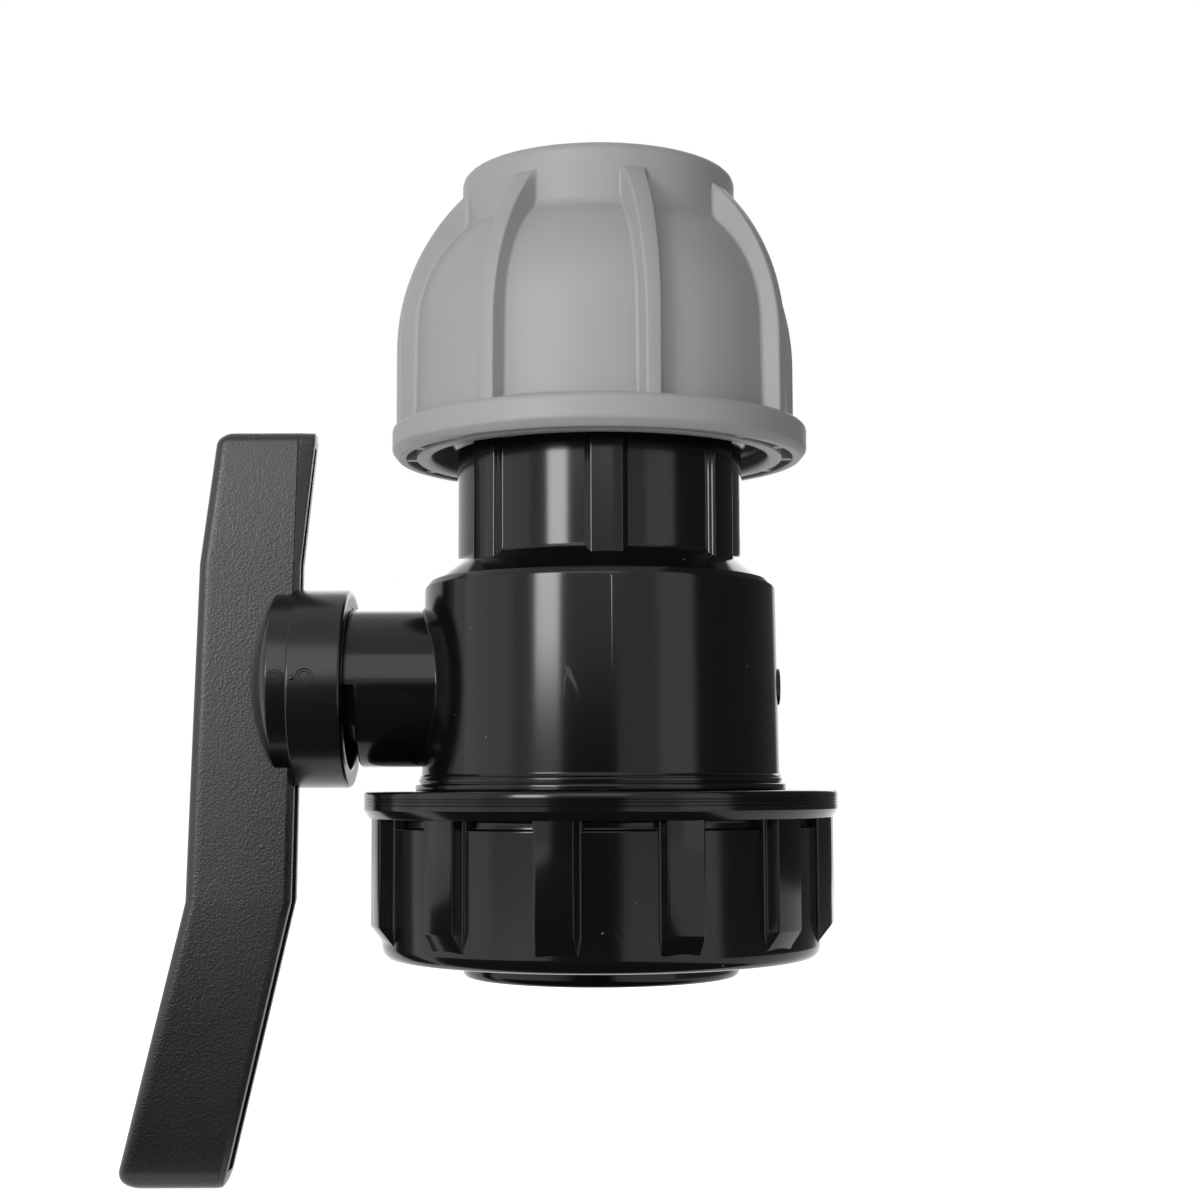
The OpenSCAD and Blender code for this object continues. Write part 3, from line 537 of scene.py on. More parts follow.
class Wiring:
    """Adds and joins the nodes of one tree, from left to right."""

    def __init__(self, tree: bpy.types.NodeTree) -> None:
        """Start wiring a tree."""
        self.tree = tree
        self.column = 0

    def add(self, kind: str, **settings: object) -> bpy.types.Node:
        """Add a node.

        Args:
            kind: Its type.
            **settings: Its properties.

        Returns:
            The node.
        """
        node = self.tree.nodes.new(kind)
        node.location = (200 * self.column, 0)
        self.column += 1
        for name, value in settings.items():
            setattr(node, name, value)
        return node

    def feed(self, socket: bpy.types.NodeSocket, value: object) -> None:
        """Give a socket a plain value, or join another socket to it.

        Args:
            socket: The input socket.
            value: A number, a vector, a colour or an output socket.
        """
        if isinstance(value, bpy.types.NodeSocket):
            self.tree.links.new(value, socket)
        else:
            socket.default_value = value

    def maths(self, operation: str, *values: object, clamp: bool = False) -> bpy.types.NodeSocket:
        """Add a Math node.

        Args:
            operation: What it works out.
            *values: Its inputs.
            clamp: Whether the result stays between 0 and 1.

        Returns:
            Its output.
        """
        node = self.add("ShaderNodeMath", operation=operation, use_clamp=clamp)
        for socket, value in zip(node.inputs, values):
            self.feed(socket, value)
        return node.outputs[0]

    def times(self, first: object, second: object) -> bpy.types.NodeSocket:
        """Multiply two values."""
        return self.maths("MULTIPLY", first, second)

    def plus(self, first: object, second: object) -> bpy.types.NodeSocket:
        """Add two values."""
        return self.maths("ADD", first, second)

    def minus(self, first: object, second: object) -> bpy.types.NodeSocket:
        """Take the second value from the first."""
        return self.maths("SUBTRACT", first, second)

    def seen(self) -> bpy.types.NodeSocket:
        """Tell what the camera sees, straight on, mirrored or through a pane, from what only gets light."""
        path = self.add("ShaderNodeLightPath").outputs
        direct = self.maths("MAXIMUM", path["Is Camera Ray"], path["Is Glossy Ray"])
        return self.maths("MAXIMUM", direct, path["Is Transmission Ray"])

    def show(self, shader: bpy.types.Node, output: str = "ShaderNodeOutputMaterial") -> None:
        """Join a shader to a new output node."""
        self.feed(self.add(output).inputs["Surface"], shader.outputs[0])

    def texture(self, kind: str, vector: object, scale: object, **settings: object) -> bpy.types.Node:
        """Add a texture.

        Args:
            kind: Type of its node.
            vector: Where it is read.
            scale: Its scale.
            **settings: Its other properties.

        Returns:
            Its node.
        """
        node = self.add(kind, **settings)
        self.feed(node.inputs["Vector"], vector)
        self.feed(node.inputs["Scale"], scale)
        return node

    def noise(
        self, vector: object, scale: object, detail: float = 2, rough: float = 0.5
    ) -> bpy.types.NodeSocket:
        """Add a Noise texture.

        Args:
            vector: Where it is read.
            scale: Its scale.
            detail: Its number of octaves.
            rough: How strong the finer octaves are.

        Returns:
            Its value.
        """
        node = self.texture("ShaderNodeTexNoise", vector, scale)
        node.inputs["Detail"].default_value = detail
        node.inputs["Roughness"].default_value = rough
        return node.outputs[0]

    def ramp(self, value: object, low: object, high: object) -> bpy.types.NodeSocket:
        """Bring a value to 0 at one end and 1 at the other, smoothly.

        Args:
            value: The value.
            low: Where the result is 0.
            high: Where the result is 1.

        Returns:
            The result.
        """
        node = self.add("ShaderNodeMapRange", interpolation_type="SMOOTHSTEP")
        self.feed(node.inputs["Value"], value)
        self.feed(node.inputs["From Min"], low)
        self.feed(node.inputs["From Max"], high)
        return node.outputs[0]

    def stretch(self, vector: object, scale: Place, turn: Place = (0, 0, 0)) -> bpy.types.NodeSocket:
        """Turn and stretch coordinates.

        Args:
            vector: The coordinates.
            scale: Scale along each axis.
            turn: Turn about each axis in degrees.

        Returns:
            The changed coordinates.
        """
        node = self.add("ShaderNodeMapping")
        self.feed(node.inputs["Vector"], vector)
        node.inputs["Scale"].default_value = scale
        node.inputs["Rotation"].default_value = [math.radians(angle) for angle in turn]
        return node.outputs[0]

    def mix(self, amount: object, first: object, second: object) -> bpy.types.NodeSocket:
        """Mix two colours.

        Args:
            amount: Share of the second colour.
            first: The first colour.
            second: The second colour.

        Returns:
            The mixed colour.
        """
        node = self.add("ShaderNodeMix", data_type="RGBA")
        self.feed(node.inputs["Factor"], amount)
        self.feed(node.inputs["A"], first)
        self.feed(node.inputs["B"], second)
        return node.outputs["Result"]


def bare_material(name: str) -> tuple[bpy.types.Material, Wiring]:
    """Make a material without nodes.

    Args:
        name: Its name.

    Returns:
        The material and the wiring of its tree.
    """
    material = bpy.data.materials.new(name)
    material.use_nodes = True
    material.node_tree.nodes.clear()
    return material, Wiring(material.node_tree)


class Effect(Enum):
    """The surface effects that several finishes share."""

    GRAIN = "moulded_grain"
    SPECKS = "dust_specks"
    SCRATCHES = "hair_scratches"
    WEAR = "rubbed_edges"
    FLOW = "mould_flow"
    LATHE = "turning_lines"


class Effects:
    """Shader node groups for the shared effects, each built when it is first wanted."""

    def __init__(self) -> None:
        """Start with no group built."""
        self.trees: dict[Effect, bpy.types.NodeTree] = {}
        self.makers: dict[Effect, Callable[[], bpy.types.NodeTree]] = {
            Effect.GRAIN: self.grain,
            Effect.SPECKS: self.specks,
            Effect.SCRATCHES: self.scratches,
            Effect.WEAR: self.wear,
            Effect.FLOW: self.flow,
            Effect.LATHE: self.lathe,
        }

    def place(self, wiring: Wiring, effect: Effect, **values: object) -> bpy.types.NodeSocket:
        """Put an effect into a material.

        Args:
            wiring: The material's wiring.
            effect: The effect wanted.
            **values: Values or sockets for the group's inputs.

        Returns:
            The group's output.
        """
        if effect not in self.trees:
            self.trees[effect] = self.makers[effect]()
        node = wiring.add("ShaderNodeGroup", node_tree=self.trees[effect])
        for name, value in values.items():
            wiring.feed(node.inputs[name], value)
        return node.outputs[0]

    @staticmethod
    def start(effect: Effect, numbers: dict[str, float], output: str) -> tuple[Wiring, dict, Callable]:
        """Start a group with a Vector input, some numbers and one output.

        Args:
            effect: The effect that the group makes.
            numbers: Names of its number inputs and their first values.
            output: Name of its output.

        Returns:
            The group's wiring, its input sockets by name, and a function that sets its output.
        """
        tree = bpy.data.node_groups.new(effect.value, "ShaderNodeTree")
        tree.interface.new_socket("Vector", in_out="INPUT", socket_type="NodeSocketVector")
        for name, value in numbers.items():
            socket = tree.interface.new_socket(name, in_out="INPUT", socket_type="NodeSocketFloat")
            socket.default_value = value
        tree.interface.new_socket(output, in_out="OUTPUT", socket_type="NodeSocketFloat")
        wiring = Wiring(tree)
        inputs = wiring.add("NodeGroupInput").outputs

        def end(value: bpy.types.NodeSocket) -> bpy.types.NodeTree:
            """Join what the group puts out, and give back the finished group."""
            wiring.feed(wiring.add("NodeGroupOutput").inputs[0], value)
            return tree

        return wiring, {socket.name: socket for socket in inputs if socket.name}, end

    def grain(self) -> bpy.types.NodeTree:
        """Build the pebbled grain of a textured mould.

        Returns:
            The group, whose Height is about 0 to 1.
        """
        wiring, inputs, end = self.start(Effect.GRAIN, {"Scale": 2000.0, "Pebble": 0.5}, "Height")
        warp = wiring.noise(inputs["Vector"], wiring.times(inputs["Scale"], 0.6))
        pebble = wiring.texture(
            "ShaderNodeTexVoronoi", inputs["Vector"], inputs["Scale"], feature="SMOOTH_F1"
        )
        pebble.inputs["Smoothness"].default_value = 0.7
        fine = wiring.noise(inputs["Vector"], inputs["Scale"], detail=3, rough=0.6)
        bump = wiring.times(pebble.outputs["Distance"], inputs["Pebble"])
        warp_share = 0.6
        total = wiring.plus(wiring.times(warp, warp_share), wiring.times(fine, 1 - warp_share))
        return end(wiring.plus(total, bump))

    def specks(self) -> bpy.types.NodeTree:
        """Build scattered specks of dust and lint.

        Returns:
            The group, whose Mask is 1 on a speck.
        """
        wiring, inputs, end = self.start(Effect.SPECKS, {"Scale": 300.0, "Share": 0.1, "Size": 0.1}, "Mask")
        cells = wiring.texture("ShaderNodeTexVoronoi", inputs["Vector"], inputs["Scale"], feature="F1")
        parts = wiring.add("ShaderNodeSeparateColor")
        wiring.feed(parts.inputs[0], cells.outputs["Color"])
        chosen = wiring.maths("LESS_THAN", parts.outputs[0], inputs["Share"])
        reach = wiring.times(inputs["Size"], parts.outputs[1])
        near = wiring.minus(1.0, wiring.ramp(cells.outputs["Distance"], 0.0, reach))
        return end(wiring.times(chosen, near))

    def scratches(self) -> bpy.types.NodeTree:
        """Build fine hair scratches that run in a few directions and come in patches.

        Returns:
            The group, whose Mask is 1 on a scratch.
        """
        wiring, inputs, end = self.start(Effect.SCRATCHES, {"Scale": 60.0, "Amount": 0.3}, "Mask")
        directions = ((12, 20, 31), (64, -35, 8), (-28, 71, -52))
        hair_width = 0.006
        patch_edge = 0.12
        total = None
        for number, turn in enumerate(directions):
            lanes = wiring.stretch(inputs["Vector"], (1, 9, 0.35), turn)
            lines = wiring.noise(lanes, wiring.times(inputs["Scale"], 1 + number / 3), detail=1)
            away = wiring.maths("ABSOLUTE", wiring.minus(lines, 0.5))
            hair = wiring.minus(1.0, wiring.ramp(away, 0.0, hair_width))
            total = hair if total is None else wiring.maths("MAXIMUM", total, hair)
        patch = wiring.noise(inputs["Vector"], wiring.times(inputs["Scale"], 1.3))
        least = wiring.minus(0.78, wiring.times(inputs["Amount"], 0.4))
        shown = wiring.ramp(patch, least, wiring.plus(least, patch_edge))
        return end(wiring.times(total, shown))

    def wear(self) -> bpy.types.NodeTree:
        """Build the rub along standing edges.

        Returns:
            The group, whose Mask is 1 where an edge is rubbed.
        """
        wiring, inputs, end = self.start(Effect.WEAR, {"Scale": 400.0, "Start": 0.55}, "Mask")
        breaking = 0.1
        softness = 0.12
        edge = wiring.add("ShaderNodeNewGeometry").outputs["Pointiness"]
        broken = wiring.noise(inputs["Vector"], inputs["Scale"], detail=3, rough=0.6)
        raised = wiring.plus(edge, wiring.times(wiring.minus(broken, 0.5), breaking))
        return end(wiring.ramp(raised, inputs["Start"], wiring.plus(inputs["Start"], softness)))

    def flow(self) -> bpy.types.NodeTree:
        """Build the slow change of gloss that the flow of plastic leaves.

        Returns:
            The group, whose Value is about 0 to 1.
        """
        wiring, inputs, end = self.start(Effect.FLOW, {"Scale": 40.0}, "Value")
        drawn = wiring.stretch(inputs["Vector"], (1, 1, 0.45))
        return end(wiring.noise(drawn, inputs["Scale"], detail=3, rough=0.55))

    def lathe(self) -> bpy.types.NodeTree:
        """Build fine lines round an axis, as a turned mould leaves them.

        Returns:
            The group, whose Height is about 0 to 1.
        """
        wiring, inputs, end = self.start(Effect.LATHE, {"Scale": 2500.0}, "Height")
        parts = wiring.add("ShaderNodeSeparateXYZ")
        wiring.feed(parts.inputs[0], inputs["Vector"])
        lines = wiring.add("ShaderNodeTexNoise", noise_dimensions="1D")
        wiring.feed(lines.inputs["W"], parts.outputs[0])
        wiring.feed(lines.inputs["Scale"], inputs["Scale"])
        lines.inputs["Detail"].default_value = 2
        return end(lines.outputs[0])


@dataclass(frozen=True)
class PlasticFinish:
    """A moulded plastic or rubber, with the marks of its mould and its use."""

    name: str
    colour: Place
    roughness: float
    specular: float
    grain_size: float = 0.3
    grain_depth: float = 0.002
    pebble: float = 0.3
    flow_gloss: float = 0.06
    flow_shade: float = 0.1
    speck_share: float = 0.1
    speck_strength: float = 0.5
    scratch_amount: float = 0.3
    scratch_strength: float = 0.2
    wear_strength: float = 0.2
    lathe_depth: float = 0.0
    dust_colour: Place = (0.6, 0.6, 0.58)
    dust_rough: float = 0.4
    dust_height: float = 0.01
    scratch_rough: float = 0.15
    scratch_depth: float = 0.002
    worn_share: float = 0.8
    worn_lift: float = 0.12

    def shade(self, factor: float) -> tuple[float, float, float, float]:
        """The finish's colour multiplied by a factor, with full opacity."""
        return (*(min(1.0, channel * factor) for channel in self.colour), 1.0)

    def material(self, effects: Effects) -> bpy.types.Material:
        """Build the finish as a material.

        Args:
            effects: The shared effect groups.

        Returns:
            The material.
        """
        material, wiring = bare_material(self.name)
        place = wiring.add("ShaderNodeTexCoord").outputs["Object"]
        flow = effects.place(wiring, Effect.FLOW, Vector=place, Scale=45.0)
        specks = effects.place(
            wiring, Effect.SPECKS, Vector=place, Scale=420.0, Share=self.speck_share, Size=0.09
        )
        scratches = effects.place(
            wiring, Effect.SCRATCHES, Vector=place, Scale=70.0, Amount=self.scratch_amount
        )
        wear = effects.place(wiring, Effect.WEAR, Vector=place, Scale=500.0, Start=0.56)
        grain = effects.place(
            wiring, Effect.GRAIN, Vector=place, Scale=1 / (self.grain_size * MM), Pebble=self.pebble
        )

        base = wiring.mix(flow, self.shade(1 - self.flow_shade), self.shade(1 + self.flow_shade))
        rubbed = wiring.mix(wiring.times(wear, self.wear_strength), base, self.worn)
        marked = wiring.times(scratches, self.scratch_strength)
        dusty = wiring.times(specks, self.speck_strength)
        scratched = wiring.mix(marked, rubbed, self.worn)
        colour = wiring.mix(dusty, scratched, (*self.dust_colour, 1.0))

        uneven = wiring.times(wiring.minus(flow, 0.5), 2 * self.flow_gloss)
        rough = wiring.plus(uneven, self.roughness)
        rough = wiring.plus(rough, wiring.times(scratches, self.scratch_rough))
        rough = wiring.maths("ADD", rough, wiring.times(specks, self.dust_rough), clamp=True)

        height = wiring.times(grain, self.grain_depth * MM)
        height = wiring.plus(height, wiring.times(specks, self.dust_height * MM))
        height = wiring.minus(height, wiring.times(scratches, self.scratch_depth * MM))
        if self.lathe_depth:
            lines = effects.place(wiring, Effect.LATHE, Vector=place, Scale=3500.0)
            height = wiring.plus(height, wiring.times(lines, self.lathe_depth * MM))
        bump = wiring.add("ShaderNodeBump")
        bump.inputs["Distance"].default_value = 1.0
        wiring.feed(bump.inputs["Height"], height)

        surface = wiring.add("ShaderNodeBsdfPrincipled")
        surface.inputs["Specular IOR Level"].default_value = self.specular
        wiring.feed(surface.inputs["Base Color"], colour)
        wiring.feed(surface.inputs["Roughness"], rough)
        wiring.feed(surface.inputs["Normal"], bump.outputs[0])
        wiring.show(surface)
        return material

    @property
    def worn(self) -> tuple[float, float, float, float]:
        """The paler colour of rubbed or scratched plastic."""
        paler = (min(1.0, channel * self.worn_share + self.worn_lift) for channel in self.colour)
        return (*paler, 1.0)


class Finish(Enum):
    """The finishes of the valve's pieces, by what they are made of."""

    BLACK_BODY = PlasticFinish(
        "glossy_black_plastic", (0.0045, 0.0045, 0.0048), 0.15, 0.27,
        speck_share=0.14, flow_gloss=0.03,
    )
    BLACK_HANDLE = PlasticFinish(
        "grained_black_plastic", (0.005, 0.005, 0.0053), 0.36, 0.5,
        grain_size=0.34, grain_depth=0.036, pebble=0.8, speck_share=0.06, flow_gloss=0.12,
    )
    BLACK_HUB = PlasticFinish(
        "turned_black_plastic", (0.005, 0.005, 0.0053), 0.24, 0.33,
        speck_share=0.14, flow_gloss=0.04, lathe_depth=0.0015,
    )
    GREY_NUT = PlasticFinish(
        "satin_grey_plastic", (0.342, 0.345, 0.352), 0.46, 0.4,
        grain_size=0.18, grain_depth=0.004, flow_shade=0.04, speck_share=0.02,
        scratch_strength=0.1, wear_strength=0.15,
    )
    WHITE_ACETAL = PlasticFinish(
        "white_acetal", (0.8, 0.8, 0.77), 0.38, 0.45,
        grain_size=0.2, flow_shade=0.03, speck_share=0.02, wear_strength=0.0,
    )
    WHITE_SEAT = PlasticFinish(
        "waxy_white_seat", (0.82, 0.82, 0.8), 0.32, 0.45,
        grain_size=0.25, flow_shade=0.03, speck_share=0.0, wear_strength=0.0,
    )
    PALE_BALL = PlasticFinish(
        "polished_pale_ball", (0.62, 0.62, 0.61), 0.16, 0.5,
        grain_size=0.4, grain_depth=0.0005, flow_shade=0.03, speck_share=0.01, wear_strength=0.0,
    )
    RUBBER = PlasticFinish(
        "black_nitrile_rubber", (0.014, 0.014, 0.014), 0.5, 0.35,
        grain_size=0.15, grain_depth=0.003, speck_share=0.12, speck_strength=0.4,
    )


class Dresser:
    """Gives pieces their finish and their body, in place of the construction solids."""

    def __init__(self) -> None:
        """Start with no material made."""
        self.effects = Effects()
        self.materials: dict[Finish, bpy.types.Material] = {}

    def paint(self, piece: bpy.types.Object, finish: Finish) -> None:
        """Give all of a piece one finish.

        Args:
            piece: The piece.
            finish: Its finish.
        """
        if finish not in self.materials:
            self.materials[finish] = finish.value.material(self.effects)
        piece.data.materials.clear()
        piece.data.materials.append(self.materials[finish])

    def fit(
        self, piece: bpy.types.Object, node: str, body: str, finish: Finish | None = None
    ) -> None:
        """Let a modelled piece stand for a construction node.

        Args:
            piece: The modelled piece.
            node: The node that it replaces.
            body: The body that it rides on.
            finish: Its finish, or none where its shells have theirs already.
        """
        if finish:
            self.paint(piece, finish)
        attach(piece, body)
        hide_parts(node)
        log.info("%s: %d faces on body %s", piece.name, len(piece.data.polygons), body)


@dataclass
class RibShape:
    """Section of a moulded rib: a rounded crest, drafted sides and a hollow fillet at its foot."""

    crest: float
    root: float
    crest_round: float
    foot_fillet: float
    sunk: float = 0.6
    steps: int = 4
    least_stand: float = 0.02
    crest_share: float = 0.45
    foot_share: float = 0.5

    def ring(self, height: float, root_r: float, crest_r: float, widen: float = 0.0) -> list[Vector]:
        """Section of the rib at one height, at the front of the valve.

        Args:
            height: Height above the outlet mouth.
            root_r: Distance of the wall that the rib stands on.
            crest_r: Distance of the rib's crest.
            widen: What is added to the rib's width.

        Returns:
            The points of the section, from the left foot over the crest to the right foot.
        """
        stand = max(crest_r - root_r, self.least_stand)
        rounding = min(self.crest_round, stand * self.crest_share)
        fillet = min(self.foot_fillet, stand * self.foot_share)
        half_crest = (self.crest + widen) / 2
        half_root = (self.root + widen) / 2
        left: list[Point] = [(-half_root - fillet, -self.sunk), (-half_root - fillet, 0.0)]
        bend = quarter(self.steps)
        left += [(-half_root - fillet * run, fillet * rise) for run, rise in bend[1:]]
        left += [(-half_crest + rounding * rise, stand - rounding * run) for run, rise in bend]
        points = left + [(-across, out) for across, out in reversed(left)]
        return [Vector((across, -self.curved(root_r + out, across), height)) for across, out in points]

    @staticmethod
    def curved(distance: float, across: float) -> float:
        """Depth at which a point beside the middle keeps its distance from the pipe axis."""
        return math.sqrt(max(distance * distance - across * across, 0.01))


@dataclass
class CompressionNut:
    """The grey domed nut that tightens the clinch ring on the pipe."""

    bore_r: float = 26.2
    bore_top: float = 23.6
    dome_r: float = 29.4
    dome_start: float = 19.0
    dome_arc: float = 21.6
    dome_draft: float = 0.2
    collar_r: float = 21.5
    collar_fillet: float = 2.5
    collar_edge: float = 1.3
    hole_r: float = 16.7
    rim_h: float = 5.0
    rim_chamfer: Point = (1.0, 1.2)
    cone_base: Point = (23.75, 26.4)
    cone_tip: Point = (18.95, 39.9)
    rib_count: int = 8
    rib_turn: float = 14.3
    rib_crest_r: float = 32.0
    rib_start: float = 16.2
    rib_arc: float = 34.8
    rib_top: float = 41.1
    rib_widen: float = 0.9
    rib_sunk: float = 0.4
    rib_lap: float = 0.03
    rib_steps: int = 32
    rib_crowding: float = 1.3
    rib: RibShape = field(default_factory=lambda: RibShape(2.3, 3.0, 0.35, 0.6))
    pocket_in_r: float = 28.6
    pocket_out_r: float = 30.2
    pocket_depth: float = 2.0
    pocket_count: int = 16
    pocket_web: float = 1.6
    web_sunk: float = 0.2
    web_lift: float = 0.25
    pitch: float = 4.0

    def __post_init__(self) -> None:
        """Take the nut's height and rim from its construction solid."""
        low, high = node_box("compression_nut")
        self.foot = low.z
        self.top = high.z
        self.rim_r = high.x

    @property
    def arc_r(self) -> float:
        """Distance of the dome's arc centre from the pipe axis."""
        return self.dome_r - self.dome_draft - self.dome_arc

    def skin_r(self, height: float) -> float:
        """Distance of the dome's skin from the pipe axis.

        Args:
            height: Height above the outlet mouth.

        Returns:
            The distance, which is the collar's above the dome.
        """
        rise = height - self.foot - self.dome_start
        if rise <= 0:
            share = (height - self.foot - self.rim_h) / (self.dome_start - self.rim_h)
            return self.dome_r - self.dome_draft * max(0.0, share)
        return max(self.collar_r, self.arc_r + math.sqrt(max(0.0, self.dome_arc**2 - rise**2)))

    def shell(self) -> bpy.types.Object:
        """Turn the dome, the collar and the rim with their bores."""
        foot = self.foot
        centre = (self.arc_r, foot + self.dome_start)
        fillet_r = self.collar_r + self.collar_fillet
        rise = math.sqrt((self.dome_arc + self.collar_fillet) ** 2 - (fillet_r - centre[0]) ** 2)
        meet = math.degrees(math.atan2(rise, fillet_r - centre[0]))
        outline = [
            Corner(self.pocket_in_r, foot, 0.25),
            Corner(self.pocket_in_r, foot + self.pocket_depth, 0.2),
            Corner(self.pocket_out_r, foot + self.pocket_depth, 0.2),
            Corner(self.pocket_out_r, foot, 0.25),
            Corner(self.rim_r - self.rim_chamfer[0], foot, 0.5),
            Corner(self.rim_r, foot + self.rim_chamfer[1], 0.9),
            Corner(self.rim_r, foot + self.rim_h, 0.9),
            Corner(self.dome_r, foot + self.rim_h, 0.7),
            *arc(centre, self.dome_arc, 0, meet, steps=24),
            *arc((fillet_r, centre[1] + rise), self.collar_fillet, 180 + meet, 180, steps=8),
            Corner(self.collar_r, self.top, self.collar_edge),
            Corner(self.hole_r, self.top, 0.6),
            Corner(self.hole_r, foot + self.cone_tip[1] + 0.1, 0.2),
            Corner(self.cone_tip[0], foot + self.cone_tip[1], 0.2),
            Corner(self.cone_base[0], foot + self.cone_base[1], 0.3),
            Corner(self.bore_r, foot + self.bore_top, 0.3),
            Corner(self.bore_r, foot, 0.8),
        ]
        return Bench.turn("grey_nut", outline, steps=192)

    def rib_blade(self) -> bpy.types.Object:
        """Loft one rib at the front, from the rim up to its blunt end on the collar."""
        start = self.foot + self.rim_h - self.rib_sunk
        bend = self.foot + self.rib_start
        end = self.foot + self.rib_top
        crest_centre = self.rib_crest_r - self.rib_arc
        rings = []
        for step in range(self.rib_steps + 1):
            height = start + (end - start) * (1 - (1 - step / self.rib_steps) ** self.rib_crowding)
            rise = max(0.0, height - bend)
            crest = crest_centre + math.sqrt(self.rib_arc**2 - rise**2)
            widen = self.rib_widen * ((height - start) / (end - start)) ** 2
            rings.append(self.rib.ring(height, self.skin_r(height) - self.rib_lap, crest, widen))
        return Bench.loft("nut_rib", rings)

    def webs(self) -> list[bpy.types.Object]:
        """Set the webs between the pockets in the nut's underside."""
        middle = (self.pocket_in_r + self.pocket_out_r) / 2
        depth = self.pocket_out_r - self.pocket_in_r + 2 * self.web_sunk
        height = self.foot + self.pocket_depth / 2 + self.web_lift
        web = Bench.block((0, -middle, height), (self.pocket_web, depth, self.pocket_depth))
        return Bench.copies(web, evenly(self.pocket_count))

    def female_thread(self) -> bpy.types.Object:
        """Wind the thread inside the nut's skirt."""
        thread = ScrewThread(
            root_r=self.bore_r + 0.2, crest_r=self.bore_r - 1.0, half_root=1.1, half_crest=0.3,
            pitch=self.pitch, turns=4.6, start=self.foot + 3.2,
        )
        return thread.wind("nut_thread")

    def build(self, dresser: Dresser) -> None:
        """Model the nut and dress it.

        Args:
            dresser: Gives it its finish and its body.
        """
        ribs = Bench.copies(self.rib_blade(), evenly(self.rib_count, self.rib_turn))
        nut = Bench.join([self.shell(), *ribs, *self.webs(), self.female_thread()], smooth_under=38)
        dresser.fit(nut, "compression_nut", "nut", Finish.GREY_NUT)


